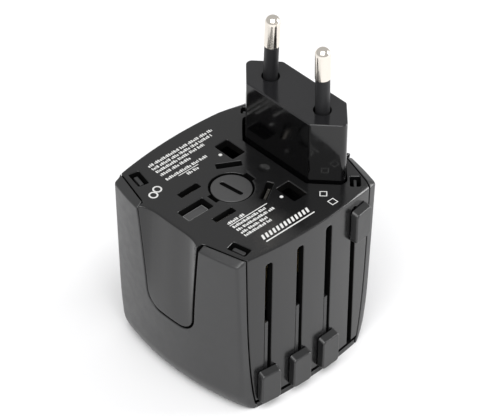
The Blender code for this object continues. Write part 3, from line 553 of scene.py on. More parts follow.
def loft(rings, closed=False):
    """A closed mesh through rings of equally many points; closed joins the last ring to the first."""
    bm = bmesh.new()
    rows = [[bm.verts.new(Vector(p) * MM) for p in ring] for ring in rings]
    pairs = list(zip(rows, rows[1:]))
    if closed:
        pairs.append((rows[-1], rows[0]))
    for lower, upper in pairs:
        for i in range(len(lower)):
            j = (i + 1) % len(lower)
            bm.faces.new((lower[i], lower[j], upper[j], upper[i]))
    if not closed:
        bm.faces.new(rows[0])
        bm.faces.new(rows[-1])
    return as_mesh(bm)


def turned(centre, profile, count=64, closed=False):
    """A solid of revolution about the vertical through centre; profile is (radius, z)."""
    rings = [[(p.x, p.y, z) for p in circle(centre, radius, count)] for radius, z in profile]
    return loft(rings, closed)


def flat_panel(outline, top, thickness, rim, holes=(), **more):
    """A panel that lies level, with its upper face at height top."""
    return panel(outline, holes, thickness, lambda u, w, d: (u, w, top - d), rim, **more)


def block(x_range, y_range, z_range, edge=0.2):
    """A box with its top edges rounded over edge."""
    centre = (sum(x_range) / 2, sum(y_range) / 2)
    size = (abs(x_range[1] - x_range[0]), abs(y_range[1] - y_range[0]))
    return flat_panel(rectangle(centre, size, 0.0, edge * 1.6), z_range[1], z_range[1] - z_range[0], edge)


def soften_shading(item):
    item.data.shade_smooth()
    item.data.set_sharp_from_angle(angle=math.radians(SHARP_ANGLE))
    weigh = item.modifiers.new("flat faces stay flat", "WEIGHTED_NORMAL")
    weigh.keep_sharp = True


def piece(name, meshes, body, slot, nodes=(), finish=None, second="painted_shade_plastic"):
    """One named object from meshes, riding on body, in the finish of its slot or in the named finish. Faces
    of the second material index take the second finish, by default a near-black painted shade.
    """
    bm = bmesh.new()
    for mesh in meshes:
        bm.from_mesh(mesh)
        bpy.data.meshes.remove(mesh)
    whole = bpy.data.meshes.new(name)
    bm.to_mesh(whole)
    bm.free()
    item = bpy.data.objects.new(name, whole)
    bpy.context.scene.collection.objects.link(item)
    whole.materials.append(MATERIALS[finish or slot])
    if any(face.material_index for face in whole.polygons):
        whole.materials.append(MATERIALS[second])
    soften_shading(item)
    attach(item, body)
    if nodes:
        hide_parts(*nodes)
    return item


# ---- the adapter's surfaces
def face_y(x):
    """Distance of the front or back wall from the centre plane, at x."""
    return FACE_HALF_DEPTH - FACE_RADIUS + math.sqrt(FACE_RADIUS**2 - x**2)


def side_x(y, z):
    """Distance of a side shell's outer surface from the centre plane."""
    under = max(FOOT_HEIGHT - z, 0.0)
    foot = FOOT_RADIUS - math.sqrt(FOOT_RADIUS**2 - under**2)
    inset = SIDE_TAPER * (1.0 - z / BODY_HEIGHT) + foot
    return SIDE_HALF_WIDTH - inset - SIDE_RADIUS + math.sqrt(SIDE_RADIUS**2 - y**2)


def seam_x(z):
    """Half width of the front wall, where it meets the side shells."""
    down = 1.0 - z / BODY_HEIGHT
    return SEAM_AT_TOP - SEAM_TAPER * down - SEAM_CURL * down**4


def tongue_half_width(z):
    straight = BODY_HEIGHT - TONGUE_BOTTOM - TONGUE_CORNER
    above = max(z - TONGUE_BOTTOM - TONGUE_CORNER, 0.0)
    return TONGUE_HALF_WIDTH + TONGUE_FLARE * (above / straight) ** TONGUE_FLARE_POWER


def tongue_x(y, z):
    """Distance of the thumb dish from the centre plane; it is flush with the shell at its edges."""
    rise = max(z - TONGUE_BOTTOM, 0.0) / (BODY_HEIGHT - TONGUE_BOTTOM)
    hollow = 1.0 - min(abs(y) / (tongue_half_width(z) - TONGUE_GAP), 1.0) ** DISH_FLATNESS
    return side_x(y, z) - TONGUE_RECESS * rise**DISH_RISE * hollow


def plug_face_z(x, y):
    """Height of the plug face: flat, with two bevelled +X corners and a shallow dimple."""
    across = (FACET_START[0] - x) * FACET_RUN[1] + (abs(y) - FACET_START[1]) * FACET_RUN[0]
    drop = FACET_SLOPE * max(across / math.hypot(*FACET_RUN), 0.0) if x > FACET_START[0] else 0.0
    away = math.hypot(x - DIMPLE_AT[0], y - DIMPLE_AT[1]) / DIMPLE_RADIUS
    if away < 1:
        drop += DIMPLE_DEPTH * (1 - away * away) ** 1.5
    return BODY_HEIGHT - drop


# The housing is laid out flat as (u, w): the plug face inside +-FOLD_U and +-FOLD_W, the front and back walls
# beyond +-FOLD_W, and the two tongues beyond +-FOLD_U.
FOLD_U = 24.8
FOLD_W = 24.0
FOOT_W = FOLD_W + BODY_HEIGHT - WALL_FOOT  # where a wall ends
STRETCH_FROM = 22.0  # past this the layout is stretched or squeezed to meet the fold
SKIN = 2.0  # layout depth of a skin's inner surface
EDGE_SOFT = 0.4  # half the width over which the plug face rolls into the walls
CORNER_REACH = 3.0  # the inside corner under a fold is blended over this height
FREE_X = {-1: 21.8, 1: 24.1}  # past this the underside closes in to the tongue's inner surface
CREASE_SHARES = (-1.0, -0.67, -0.33, 0.0, 0.33, 0.67, 1.0)


def face_scale(u):
    """Real depth for each millimetre of the layout, at u."""
    return face_y(min(abs(u), STRETCH_FROM)) / FOLD_W


def plate_edge(y):
    """Where the plug face folds into a tongue; past the tongue's sides the layout isn't stretched."""
    past = min(max(abs(y) - TONGUE_SIDE, 0.0), 1.0)
    return (1 - past) * tongue_x(min(abs(y), TONGUE_SIDE), BODY_HEIGHT) + past * FOLD_U


def layout(x, y):
    """Where a point of the plug face lies on the flat layout."""
    w = y / face_scale(x)
    if abs(x) <= STRETCH_FROM:
        return Vector((x, w))
    share = (abs(x) - STRETCH_FROM) / (plate_edge(y) - STRETCH_FROM)
    return Vector((math.copysign(STRETCH_FROM + share * (FOLD_U - STRETCH_FROM), x), w))


def housing_outer(u, w):
    au, aw = abs(u), abs(w)
    if aw > FOLD_W:
        down = aw - FOLD_W
        y = face_y(au)
        drop = (BODY_HEIGHT - plug_face_z(u, y)) * max(0.0, 1 - down / FACET_FADE)
        return Vector((u, math.copysign(y, w), BODY_HEIGHT - drop - down))
    y = w * face_scale(u)
    if au > FOLD_U:
        z = BODY_HEIGHT - (au - FOLD_U)
        return Vector((math.copysign(tongue_x(y, z), u), y, z))
    x = au
    if au > STRETCH_FROM:
        share = (au - STRETCH_FROM) / (FOLD_U - STRETCH_FROM)
        x = STRETCH_FROM + share * (plate_edge(y) - STRETCH_FROM)
    x = math.copysign(x, u)
    return Vector((x, y, plug_face_z(x, y)))


def tongue_thickness(u, outer_x):
    """The +X tongue is thin near the plug face, where the Euro block passes behind it."""
    if u <= 0:
        return TONGUE_WALL
    return min(TONGUE_WALL, max(TONGUE_THINNEST, outer_x - EURO_CLEAR_X))


def inner_height(down):
    """Height of the inner surface of a wall or a tongue, down from its fold."""
    if down < CORNER_REACH:
        return BODY_HEIGHT - PLATE - down * (CORNER_REACH - PLATE) / CORNER_REACH
    return BODY_HEIGHT - down


def housing_inner(u, w):
    au, aw = abs(u), abs(w)
    if aw > FOLD_W:
        return Vector((u, math.copysign(face_y(au) - WALL, w), inner_height(aw - FOLD_W)))
    outer = housing_outer(u, w)
    if au > FOLD_U:
        x = abs(outer.x) - tongue_thickness(u, abs(outer.x))
        return Vector((math.copysign(x, u), outer.y, inner_height(au - FOLD_U)))
    x, y = outer.x, outer.y
    if aw > STRETCH_FROM:
        start = STRETCH_FROM * face_scale(u)
        end = face_y(min(au, STRETCH_FROM)) - WALL
        y = math.copysign(start + (aw - STRETCH_FROM) / (FOLD_W - STRETCH_FROM) * (end - start), w)
    free = FREE_X[1 if u > 0 else -1]
    if abs(x) > free:
        edge = plate_edge(y)
        inner_edge = edge - tongue_thickness(u, edge)
        share = min(1.0, (abs(x) - free) / (edge - free))
        x = math.copysign(free + share * (inner_edge - free), x)
    return Vector((x, y, BODY_HEIGHT - PLATE))


def is_near(value, crease, soft):
    """Whether value lies within soft of a crease, its last cut included."""
    return abs(abs(value) - crease) < soft * 1.01


def averaged(surface, u, w, span_u, span_w):
    """A surface with its creases rolled over, by averaging it across each crease."""
    samples = [surface(u + share * span_u, w + share * span_w) for share in CREASE_SHARES]
    return sum(samples, Vector((0, 0, 0))) / len(samples)


def place_housing(u, w, depth):
    if is_near(w, FOLD_W, EDGE_SOFT):
        outer = averaged(housing_outer, u, w, 0.0, EDGE_SOFT)
    elif is_near(u, FOLD_U, EDGE_SOFT):
        outer = averaged(housing_outer, u, w, EDGE_SOFT, 0.0)
    else:
        outer = housing_outer(u, w)
    return outer.lerp(housing_inner(u, w), min(depth / SKIN, 1.0))


# ---- main housing
PLATE_CORNERS = ((21.3, -21.9), (24.25, -11.75), (24.75, -10.75))  # plug face, from a wall's seam to a tongue
FOLD_CUTS = (0.1, 0.2, 0.3, 0.4, 0.7)  # distances of the cuts on both sides of a fold


def housing_side(sign):
    """The layout of the housing's +X or -X edge, from the front wall's foot to the back wall's foot."""
    points = []
    for z in steps_between(WALL_FOOT, BODY_HEIGHT, 3.0):
        points.append(Vector((seam_x(z) - SEAM_GAP, -(FOLD_W + BODY_HEIGHT - z))))
    points += [layout(x, y) for x, y in PLATE_CORNERS]
    scale = face_scale(FOLD_U)
    foot = TONGUE_BOTTOM + TONGUE_GAP
    corner = TONGUE_CORNER - TONGUE_GAP
    for z in steps_between(BODY_HEIGHT, foot + corner, 3.0):
        points.append(Vector((FOLD_U + BODY_HEIGHT - z, -(tongue_half_width(z) - TONGUE_GAP) / scale)))
    half = TONGUE_HALF_WIDTH - TONGUE_GAP - corner
    for angle in range(15, 91, 15):
        a = math.radians(angle)
        z = foot + corner * (1 - math.sin(a))
        points.append(Vector((FOLD_U + BODY_HEIGHT - z, -(half + corner * math.cos(a)) / scale)))
    points += [Vector((p.x, -p.y)) for p in reversed(points)]
    return [Vector((sign * p.x, p.y)) for p in points]


def slot_notch(kind):
    """One knob slot, as a notch in the front wall's lower edge, from its left foot to its right foot."""
    x, half = SLOT_X[kind], SLOT_WIDTH[kind] / 2
    top_w = -(FOLD_W + BODY_HEIGHT - SLOT_TOP[kind])
    corner = half * SLOT_ROUNDING
    return (
        [Vector((x - half, -FOOT_W))]
        + arc((x - half + corner, top_w - corner), corner, 180, 90, 5)
        + arc((x + half - corner, top_w - corner), corner, 90, 0, 5)
        + [Vector((x + half, -FOOT_W))]
    )


def cap_hole():
    """Round hole of the fuse cap with a gate on each side for the cap's lugs."""
    reach, half = CAP_GATE
    gate = math.degrees(math.asin(half / CAP_HOLE))
    points = []
    for start, side in ((0, -1), (180, 1)):
        points += arc(FUSE_CENTRE, CAP_HOLE, start + gate, start + 180 - gate, 28)
        x = FUSE_CENTRE[0] + side * reach
        points += [Vector((x, -side * half)), Vector((x, side * half))]
    return points


def euro_hole():
    """Opening round the Euro block, wider on the fuse cap's side and cut short at the +X tongue."""
    points = []
    for p in euro_outline(EURO_GAP):
        x = p.x - EURO_GAP_AT_CAP if p.x < EURO_CENTRE else p.x
        points.append(Vector((min(x, EURO_HOLE_END), p.y)))
    return points


def plug_holes():
    """Every opening of the plug face as (outline, rim)."""
    earth, uk = node_centre("uk_earth_pin"), node_centre("uk_neutral_pin")
    us, au = node_centre("us_neutral_blade"), node_centre("au_neutral_blade")
    holes = [
        (rectangle((earth.x, 0.0), EARTH_HOLE), PIN_HOLE_RIM),
        (euro_hole(), EURO_RIM),
        (cap_hole(), CAP_RIM),
    ]
    for sign in (-1, 1):
        holes.append((rectangle((uk.x, sign * uk.y), UK_HOLE), PIN_HOLE_RIM))
        for blade, size, angle in ((us, US_HOLE, 0.0), (au, AU_HOLE, -sign * AU_ANGLE)):
            outline = rectangle((blade.x, sign * blade.y), size, angle, BLADE_HOLE_CORNER)
            holes.append((outline, BLADE_HOLE_RIM))
        for side in (-1, 1):
            centre = (side * WINDOW_AT[side][0], sign * WINDOW_AT[side][1])
            angle = side * sign * WINDOW_ANGLE[side]
            holes.append((rectangle(centre, WINDOW_SIZE[side], angle, WINDOW_CORNER), WINDOW_RIM))
    return [([layout(p.x, p.y) for p in outline], rim) for outline, rim in holes]


def cap_seat():
    """Ring under the plug face that holds the fuse cap, with the tube of the fuse below it."""
    profile = [(6.9, 47.05), (6.9, 48.85), (6.4, 48.85), (6.4, 48.4), (3.0, 48.4), (3.0, 22.2), (4.3, 22.2),
               (4.3, 46.05)]
    return turned(FUSE_CENTRE, profile, 48, closed=True)


def housing_cuts():
    """The u and the w at which the housing's layout is divided: close together where it bends most."""
    cuts_u = steps_between(-21, 21, 1.5)
    cuts_w = steps_between(-23, 23, 2.0)
    cuts_w += [sign * w for w in steps_between(7.5, 10.9, 0.4) for sign in (-1, 1)]
    offsets = [side * n for n in FOLD_CUTS for side in (-1, 1)] + [0.0]
    for sign in (-1, 1):
        cuts_u += [sign * (FOLD_U + offset) for offset in offsets]
        cuts_w += [sign * (FOLD_W + offset) for offset in offsets]
        cuts_u += [sign * u for u in steps_between(FOLD_U + 2, FOLD_U + 30, 2.0)]
        cuts_w += [sign * w for w in steps_between(FOLD_W + 3, FOOT_W - 3, 6.0)]
    for cuts, middle in ((cuts_u, DIMPLE_AT[0]), (cuts_w, DIMPLE_AT[1])):
        cuts += steps_between(middle - DIMPLE_RADIUS, middle + DIMPLE_RADIUS, 0.28)
    return cuts_u, cuts_w


def main_housing():
    outline = housing_side(1) + list(reversed(housing_side(-1)))
    for kind in KNOB_KINDS:
        outline += slot_notch(kind)
    holes = plug_holes()
    facets = []
    for sign in (-1, 1):
        start = layout(FACET_START[0], sign * FACET_START[1])
        end = layout(FACET_START[0] + FACET_RUN[0], sign * (FACET_START[1] + FACET_RUN[1]))
        facets.append((tuple(start), tuple(end)))
    # the walls of every opening and slot, the seams and the underside take the second finish, painted shade
    skin = panel(outline, [h for h, _ in holes], SKIN, place_housing, 0.2, [r for _, r in holes],
                 housing_cuts(), facets, True)
    return piece("main_housing_skin", [skin, cap_seat()], "housing", "housing_plastic", ["main_housing"])


# ---- side shells
# A shell is laid out flat as (s, v): s runs round it from seam to seam and v up it. The long side lies inside
# +-SIDE_S, the short front and back parts beyond it, and the bevelled lip above LIP_V.
SIDE_S = 23.0
FRONT_S = 3.2
LIP_V = BODY_HEIGHT - LIP_DROP
LIP_WIDTH = 2.7
LIP_TOP = LIP_V + LIP_WIDTH
LIP_CORNER_Y = 21.9  # where the lip's inner edge turns from the long side to a short part
LIP_INNER_X = 24.6  # the inner edge beside the tongue
LIP_STRAIGHT = 11.6  # half length of its straight middle
LIP_SLANT = 0.2864  # how steeply it closes in past that
LIP_FRONT_X = 21.65  # the inner edge of a short part, at its corner
LIP_FRONT_RUN = 0.3
UNDERSIDE_FROM = LIP_V - 2  # the inner surface leans in to the lip above this
UNDERSIDE_RISE = 1.2
CORNER_SOFT = 0.65  # half the width over which the long side rolls into a short part, at the top
SOFT_TAPER = 0.4  # what the corner gains evenly on the way down
FOOT_SOFT = 1.5  # and what it gains besides, over FOOT_SOFT_SPAN below FOOT_SOFT_TOP
FOOT_SOFT_TOP = 16.0
FOOT_SOFT_SPAN = 12.0
LIP_SOFT = 0.35
SHELL_FOOT = 0.2
TOE = 0.45  # under the front and back walls a shell reaches this much further
TOE_HEIGHTS = (1.5, 1.9)  # where the toe starts to run out, and where it ends
NOTCH_EASE = 0.2  # the cut-out's rounded edge opens the seam by this much
NOTCH_SPREAD = 0.3  # and by this much more at the lip's inner edge
NOTCH_TOP = 46.5  # the cut-out is laid out as one straight run from here to the lip
NOTCH_LIP_Y = 22.2  # the shell's half depth at the lip
CORNER_CUTS = (0.25, 0.5, 0.8, 1.1, 1.6, 2.1)  # distances of the cuts on both sides of a corner
LIP_CUTS = (-0.35, -0.18, 0, 0.18, 0.35)


def shell_corner(z):
    """Where the long side of a shell meets its short parts, as (x, |y|): a guess bettered three times."""
    y = 22.25
    for _ in range(3):
        x = side_x(y, z)
        y = face_y(x)
    return x, y


def lip_edge(s, beyond):
    """Inner edge of a +X shell's lip, as (x, y)."""
    if beyond <= 0:
        y = s * LIP_CORNER_Y / SIDE_S
        return LIP_INNER_X - max(abs(y) - LIP_STRAIGHT, 0.0) * LIP_SLANT, y
    y = LIP_CORNER_Y + beyond * (face_y(SEAM_AT_TOP) - LIP_CORNER_Y)
    return LIP_FRONT_X - LIP_FRONT_RUN * beyond, math.copysign(y, s)


def shell_outer(s, v, side):
    """Outer surface of a +X shell; the lip of the right one falls with the plug face's bevelled corners."""
    z = min(v, LIP_V)
    corner_x, corner_y = shell_corner(z)
    beyond = (abs(s) - SIDE_S) / FRONT_S
    if beyond <= 0:
        y = s * corner_y / SIDE_S
        x = side_x(y, z)
    else:
        x = corner_x - beyond * (corner_x - seam_x(z))
        y = math.copysign(face_y(x), s)
    if v <= LIP_V:
        return Vector((x, y, z))
    inner_x, inner_y = lip_edge(s, beyond)
    share = (v - LIP_V) / LIP_WIDTH
    rise = LIP_DROP
    if side > 0:
        rise -= BODY_HEIGHT - plug_face_z(inner_x, inner_y)
    return Vector((x + share * (inner_x - x), y + share * (inner_y - y), z + share * rise))


def shell_inner(s, v, side, thick):
    """Inner surface of a +X shell, thick behind its long side."""
    z = min(v, LIP_V)
    corner_x, corner_y = shell_corner(z)
    beyond = (abs(s) - SIDE_S) / FRONT_S
    if beyond <= 0:
        y = s * (corner_y - SHELL_WALL) / SIDE_S
        x = side_x(s * corner_y / SIDE_S, z) - thick
    else:
        x = corner_x - thick - beyond * (corner_x - thick - seam_x(z))
        y = math.copysign(face_y(x) - SHELL_WALL, s)
    if v <= UNDERSIDE_FROM:
        return Vector((x, y, z))
    share = (v - UNDERSIDE_FROM) / (LIP_TOP - UNDERSIDE_FROM)
    top = shell_outer(s, LIP_TOP, side)
    return Vector((x + share * (top.x - x), y + share * (top.y - y), UNDERSIDE_FROM + share * UNDERSIDE_RISE))


def corner_soft(v):
    """Half the width of a shell's rounded corner: it grows towards the foot, and faster near it."""
    low = min(max((FOOT_SOFT_TOP - v) / FOOT_SOFT_SPAN, 0.0), 1.0)
    return CORNER_SOFT + SOFT_TAPER * (1 - v / BODY_HEIGHT) + FOOT_SOFT * low**1.5


def place_shell(side, thick):
    def surface(s, v):
        return shell_outer(s, v, side)

    def place(s, v, depth):
        soft = corner_soft(v)
        at_lip = is_near(v, LIP_V, LIP_SOFT)
        if is_near(s, SIDE_S, soft):
            heights = (v, v + LIP_SOFT, v - LIP_SOFT) if at_lip else (v,)
            outer = sum((averaged(surface, s, height, soft, 0.0) for height in heights), Vector((0, 0, 0)))
            outer /= len(heights)
        elif at_lip:
            outer = averaged(surface, s, v, 0.0, LIP_SOFT)
        else:
            outer = surface(s, v)
        point = outer.lerp(shell_inner(s, v, side, thick), min(depth / SKIN, 1.0))
        return Vector((side * point.x, point.y, point.z))

    return place


def shell_notch():
    """Half of the U-shaped cut-out, from the lip down to the middle of its foot."""
    points = []
    for above in (LIP_WIDTH, 1.9, 1.2, 0.6, 0.0):
        half = tongue_half_width(BODY_HEIGHT - 1) + NOTCH_EASE + NOTCH_SPREAD * (above / LIP_WIDTH) ** 2
        points.append(Vector((half * SIDE_S / NOTCH_LIP_Y, LIP_V + above)))
    for z in steps_between(NOTCH_TOP, TONGUE_BOTTOM + TONGUE_CORNER, 3.0):
        points.append(Vector(((tongue_half_width(z) + NOTCH_EASE) * SIDE_S / shell_corner(z)[1], z)))
    corner = TONGUE_CORNER + NOTCH_EASE
    for angle in range(15, 76, 15):
        a = math.radians(angle)
        z = TONGUE_BOTTOM + TONGUE_CORNER - corner * math.sin(a)
        half = TONGUE_HALF_WIDTH - TONGUE_CORNER + corner * math.cos(a)
        points.append(Vector((half * SIDE_S / shell_corner(z)[1], z)))
    foot_half = (TONGUE_HALF_WIDTH - TONGUE_CORNER) * SIDE_S / shell_corner(TONGUE_BOTTOM)[1]
    points.append(Vector((foot_half, TONGUE_BOTTOM - NOTCH_EASE)))
    return points


def latch_finger(side, sign):
    """Hook of a shell that shows in a corner window of the plug face."""
    centre = (side * WINDOW_AT[side][0], sign * WINDOW_AT[side][1])
    outline = rectangle(centre, FINGER_SIZE[side], side * sign * WINDOW_ANGLE[side], 0.25)
    return flat_panel(outline, BODY_HEIGHT - FINGER_DROP, FINGER_LENGTH, 0.2)


def side_shell(name, side):
    end = SIDE_S + FRONT_S
    run_out, toe_top = TOE_HEIGHTS
    half = [(end + TOE, SHELL_FOOT), (end + TOE, run_out), (end, toe_top), (end, LIP_TOP)]
    half = [Vector(point) for point in half] + shell_notch()
    outline = half + [Vector((-p.x, p.y)) for p in reversed(half)]
    offsets = [-n for n in reversed(CORNER_CUTS)] + [0, *CORNER_CUTS]
    cuts_s = steps_between(-SIDE_S + 1.5, SIDE_S - 1.5, 1.6)
    for sign in (-1, 1):
        cuts_s += [sign * (SIDE_S + offset) for offset in offsets]
    cuts_v = steps_between(0.8, FOOT_HEIGHT, 0.65) + steps_between(8.0, 48.0, 2.0)
    cuts_v += [LIP_V + n for n in LIP_CUTS]
    thick = SHELL_WALL if side < 0 else RIGHT_SHELL_WALL
    # the shell's edges, the walls of its cut-out and its underside take the second finish, painted shade
    skin = panel(outline, [], SKIN, place_shell(side, thick), 0.25, cuts=(cuts_s, cuts_v), second_wall=True)
    fingers = [latch_finger(side, sign) for sign in (-1, 1)]
    return piece(name + "_skin", [skin, *fingers], "housing", "shell_plastic", [name])


# ---- fuse cap
def fuse_cap():
    """Disc with a rounded screwdriver slot, on its stem and lugs."""
    centre = Vector(FUSE_CENTRE)
    reach, half = CAP_SLOT
    turn = Matrix.Rotation(math.radians(CAP_SLOT_ANGLE), 2)
    slot = arc((0, reach), half, 0, 180, 8) + arc((0, -reach), half, 180, 360, 8)
    top = node_box("fuse_cap")[1].z
    # the disc's outer wall, its slot's walls and its underside are painted in shade
    disc = flat_panel(circle(centre, CAP_RADIUS), top, CAP_DISC, 0.22, [[centre + turn @ p for p in slot]],
                      second_wall=True)
    under = CAP_RADIUS - 0.1
    stem = [(CAP_STEM_RADIUS, CAP_STEM_FOOT), (CAP_STEM_RADIUS, CAP_FLOOR)]
    floor = turned(centre, stem + [(under, CAP_FLOOR), (under, top - 0.9)], 64)
    # the stem and the floor under the disc are painted in shade
    for face in floor.polygons:
        face.material_index = 1
    lug_x = (centre.x - LUG_HALF_WIDTH, centre.x + LUG_HALF_WIDTH)
    lugs = block(lug_x, (-LUG_REACH, LUG_REACH), LUG_HEIGHTS, 0.15)
    return piece("fuse_cap_skin", [disc, floor, lugs], "fuse_cap", "cap_plastic", ["fuse_cap"])


# ---- knobs
def knob_ring(half, low, high, corner, out):
    """Outline of a knob at distance out from the wall, with low and high above its foot."""
    outline = rounded([(-half, low), (half, low), (half, high), (-half, high)], [corner], 6)
    return [(p.x, -out, p.y) for p in outline]


def knob(kind):
    """Finger knob: drafted sides, a sloping top and soft edges round its face."""
    low, high = node_box(kind + "_knob")
    height = high.z - low.z
    x = KNOB_X[kind]
    edge = KNOB_REACH - KNOB_SOFT
    rings = []
    for share in (0.0, 0.35, 0.7, 1.0):
        out = KNOB_ROOT + share * (edge - KNOB_ROOT)
        half = KNOB_HALF_WIDTH - KNOB_DRAFT * share
        rings.append(knob_ring(half, -KNOB_DROP, height - KNOB_SLOPE * share, KNOB_CORNER, out))
    for angle in (22.5, 45, 67.5, 90):
        a = math.radians(angle)
        inset = KNOB_SOFT * (1 - math.cos(a))
        out = edge + KNOB_SOFT * math.sin(a)
        half = KNOB_HALF_WIDTH - KNOB_DRAFT - inset
        top = height - KNOB_SLOPE - inset
        rings.append(knob_ring(half, inset - KNOB_DROP, top, KNOB_CORNER - 0.6 * inset, out))
    turn = Matrix.Rotation(math.asin(x / FACE_RADIUS), 3, "Z")
    foot = Vector((x, -face_y(x), low.z))
    rings = [[foot + turn @ Vector(p) for p in ring] for ring in rings]
    return piece(kind + "_knob_skin", [loft(rings)], kind + "_plug", "knob_plastic", [kind + "_knob"])


# ---- Euro plug
def euro_block():
    """Six-sided block with a well round each pin, and the arm that leads from it to its knob."""
    distance, radius = EURO_WELL
    wells = [circle((EURO_CENTRE, sign * distance), radius, 48) for sign in (-1, 1)]
    # the head's sides, the walls of its wells and its underside take a darker, glossier copy of its plastic:
    # the gloss is real, the darkening is painted shade
    head = flat_panel(euro_outline(), EURO_TOP, EURO_HEIGHT, 0.35, wells, hole_rims=[0.12, 0.12],
                      cuts=((), steps_between(-18, 18, 3.0)), second_wall=True)
    low = EURO_TOP - EURO_HEIGHT
    stem = block(EURO_STEM_X, (-EURO_STEM_HALF, EURO_STEM_HALF), (low - EURO_STEM, low + 0.3))
    arm_x = (SLOT_X["euro"] - EURO_ARM / 2, SLOT_X["euro"] + EURO_ARM / 2)
    foot = node_box("euro_knob")[0].z
    arm = block(arm_x, EURO_ARM_Y, (foot + 2.1, low - 1.5))
    stub = block(arm_x, EURO_STUB_Y, (foot + 2.2, foot + 6.6))
    return piece("euro_block_skin", [head, stem, arm, stub], "euro_plug", "gloss_plastic", ["euro_block"],
                 second="block_side_painted_shade")


def lean(mesh, sign):
    """Moves a pin's mesh, made upright at the origin, to its place, leaning towards the other pin."""
    tilt = Matrix.Rotation(sign * math.atan((PIN_AT_BASE - PIN_AT_TIP) / PIN_LENGTH), 4, "X")
    shift = Matrix.Translation(Vector((EURO_CENTRE, sign * PIN_AT_BASE, EURO_TOP)) * MM)
    mesh.transform(shift @ tilt)
    return mesh


def euro_pins():
    """The two round pins, thinner inside their sleeves. Profiles are (radius, height above the block)."""
    low, high = NECK_SPAN
    shank = [(PIN_RADIUS, PIN_FOOT), (PIN_RADIUS, low), (PIN_NECK, low), (PIN_NECK, high)]
    tip = [(PIN_RADIUS - 0.1, high), (PIN_RADIUS, high + 0.1)]
    for angle in range(0, 90, 9):
        a = math.radians(angle)
        tip.append((PIN_RADIUS * math.cos(a), PIN_LENGTH - PIN_NOSE + PIN_NOSE * math.sin(a)))
    tip.append((0.12, PIN_LENGTH))
    bore, skin = SLEEVE_RADII
    foot, end = SLEEVE_SPAN
    cut = SLEEVE_CHAMFER
    wall = [(bore, foot), (skin, foot), (skin, end - cut), (skin - cut, end), (bore, end)]
    for pole, sign in (("live", -1), ("neutral", 1)):
        pin = lean(turned((0, 0), shank + tip, 64), sign)
        piece(f"euro_{pole}_pin_skin", [pin], "euro_plug", "nickel", [f"euro_{pole}_pin"])
        sleeve = lean(turned((0, 0), wall, 64, closed=True), sign)
        piece(f"euro_{pole}_sleeve_skin", [sleeve], "euro_plug", "gloss_plastic", [f"euro_{pole}_sleeve"],
              "sleeve_plastic")


# ---- earth pin
def earth_pin():
    """Plastic earth pin with a chamfer round its tip, which is painted lighter as a painted highlight."""
    centre = node_centre("uk_earth_pin")
    top = node_box("uk_earth_pin")[1].z
    rings = []
    for inset, down in ((1.7, 0.0), (0.9, 0.25), (0.4, 0.7), (0.0, 1.3), (0.0, 20.0)):
        size = (EARTH_PIN[0] - inset, EARTH_PIN[1] - inset)
        rings.append([(p.x, p.y, top - down) for p in rectangle(centre[:2], size, 0.0, 0.2)])
    pin = loft(rings)
    # the chamfer faces take the pale finish, a painted highlight
    for face in pin.polygons:
        if 0.2 < face.normal.z < 0.99:
            face.material_index = 1
    return piece("uk_earth_pin_skin", [pin], "uk_plug", "inner_plastic", ["uk_earth_pin"],
                 "earth_pin_plastic", "pin_edge_painted_highlight")


# ---- print
PRINT_Z = BODY_HEIGHT + 0.02
PRINT_DEPTH = 0.06
STROKE_WIDTHS = (0.5, 0.32, 0.46, 0.24, 0.52, 0.4)
STROKE_GAP = 0.19
WORD_LENGTHS = (5, 4, 6, 3, 7)
WORD_GAP = 0.32
RATING_LINES = (  # the x at which a line starts and ends, and its y
    (-14.5, 7.3, 19.9), (-14.5, 5.8, 18.45), (-14.5, 2.0, 17.0), (-14.5, -3.8, 15.4), (-14.6, -0.5, 13.2),
    (-9.2, -5.3, 11.3),
)
NOTICE_LINES = (
    (-15.0, -9.0, -9.5), (-14.9, -3.6, -11.35), (-14.9, -2.3, -12.75), (-14.9, -5.6, -14.15),
    (-14.9, -5.8, -15.5),
)
STRIPES = 13
STRIPE_FROM = -12.6
STRIPE_STEP = 1.25
STRIPE_WIDTH = 0.68
STRIPE_LEAN = 0.6
STRIPE_Y = (-19.8, -18.2)
RINGS = (  # centre, radius, width of the line, corners and angle of each outlined mark
    ((10.3, -17.3), 1.35, 0.32, 4, 0.0),
    ((9.9, -21.0), 1.4, 0.32, 4, 45.0),
    ((-20.9, 11.0), 1.25, 0.42, 24, 0.0),
    ((-18.7, 12.0), 1.25, 0.42, 24, 0.0),
)


def printed(outline, holes=()):
    return flat_panel(outline, PRINT_Z, PRINT_DEPTH, 0.004, holes)


def bar(start, end, y, height):
    width = end - start
    return printed(rectangle(((start + end) / 2, y), (width, height), 0.0, min(width, height) * 0.25, 1))


def greeked_line(start, end, y, height, phase):
    """A row of small bars that stands for a line of small print without lettering."""
    bars = []
    x, count, word = start, phase, 0
    while x < end - 0.4:
        width = STROKE_WIDTHS[count % len(STROKE_WIDTHS)]
        tall = height * (1.0 if (count * 7 + phase) % 3 else 0.72)
        bars.append(bar(x, x + width, y - (height - tall) / 2, tall))
        count += 1
        word += 1
        x += width + STROKE_GAP
        if word == WORD_LENGTHS[(count + phase) % len(WORD_LENGTHS)]:
            x += WORD_GAP
            word = 0
        elif word > max(WORD_LENGTHS):
            word = 0
    return bars


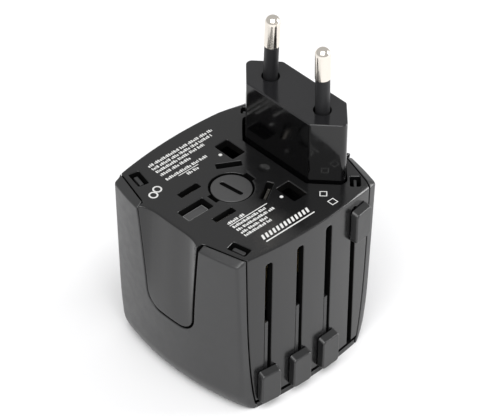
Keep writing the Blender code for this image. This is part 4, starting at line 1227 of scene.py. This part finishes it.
def ring_mark(centre, radius, width, corners, angle):
    """Outline of a regular polygon, as a closed strip."""
    centre = Vector(centre)
    outer = []
    for k in range(corners):
        turn = Matrix.Rotation(math.radians(-angle - 360 / corners * k), 2)
        outer.append(centre + Vector((radius, 0)) @ turn)
    inner = [centre + (p - centre) * (1 - width / radius) for p in outer]
    return printed(outer, [inner])


def stripe(k):
    x = STRIPE_FROM + STRIPE_STEP * k
    low, high = STRIPE_Y
    corners = [(x, low), (x + STRIPE_WIDTH, low)]
    corners += [(x + STRIPE_LEAN + STRIPE_WIDTH, high), (x + STRIPE_LEAN, high)]
    return printed([Vector(c) for c in corners])


def print_piece(name, meshes):
    return piece(name, meshes, "housing", "housing_plastic", (), "white_print")


def print_pieces():
    """Rows of bars, stripes and plain marks in place of the print on the plug face."""
    for name, lines, height, phase, underline in (
        ("rating_print", RATING_LINES, 0.95, 0, (-11.3, -4.6, 12.2, 0.22)),
        ("notice_print", NOTICE_LINES, 0.9, 3, (-15.1, -2.5, -10.4, 0.25)),
    ):
        meshes = []
        for k, line in enumerate(lines):
            meshes += greeked_line(*line, height, k + phase)
        print_piece(name, meshes + [bar(*underline)])
    print_piece("stripe_print", [stripe(k) for k in range(STRIPES)] + [bar(STRIPE_FROM, 3.9, -20.7, 0.35)])
    marks = [ring_mark(*ring) for ring in RINGS]
    marks += [bar(1.45, 2.35, -11.05, 0.9), bar(1.5, 2.4, 11.1, 0.9)]
    print_piece("symbol_print", marks)


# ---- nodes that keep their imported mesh
def dress_kept_nodes():
    """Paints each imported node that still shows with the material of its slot."""
    slots = {row["node"]: row["material_slot"] for row in frame["record"]["subparts"]}
    for name, item in frame["nodes"].items():
        if item.hide_render:
            continue
        for holder in item.material_slots:
            holder.material = MATERIALS[slots[name]]


make_camera()
make_floor()
make_light()
MATERIALS = make_materials()
main_housing()
side_shell("side_shell_left", -1)
side_shell("side_shell_right", 1)
fuse_cap()
for knob_kind in KNOB_KINDS:
    knob(knob_kind)
euro_block()
euro_pins()
earth_pin()
print_pieces()
dress_kept_nodes()
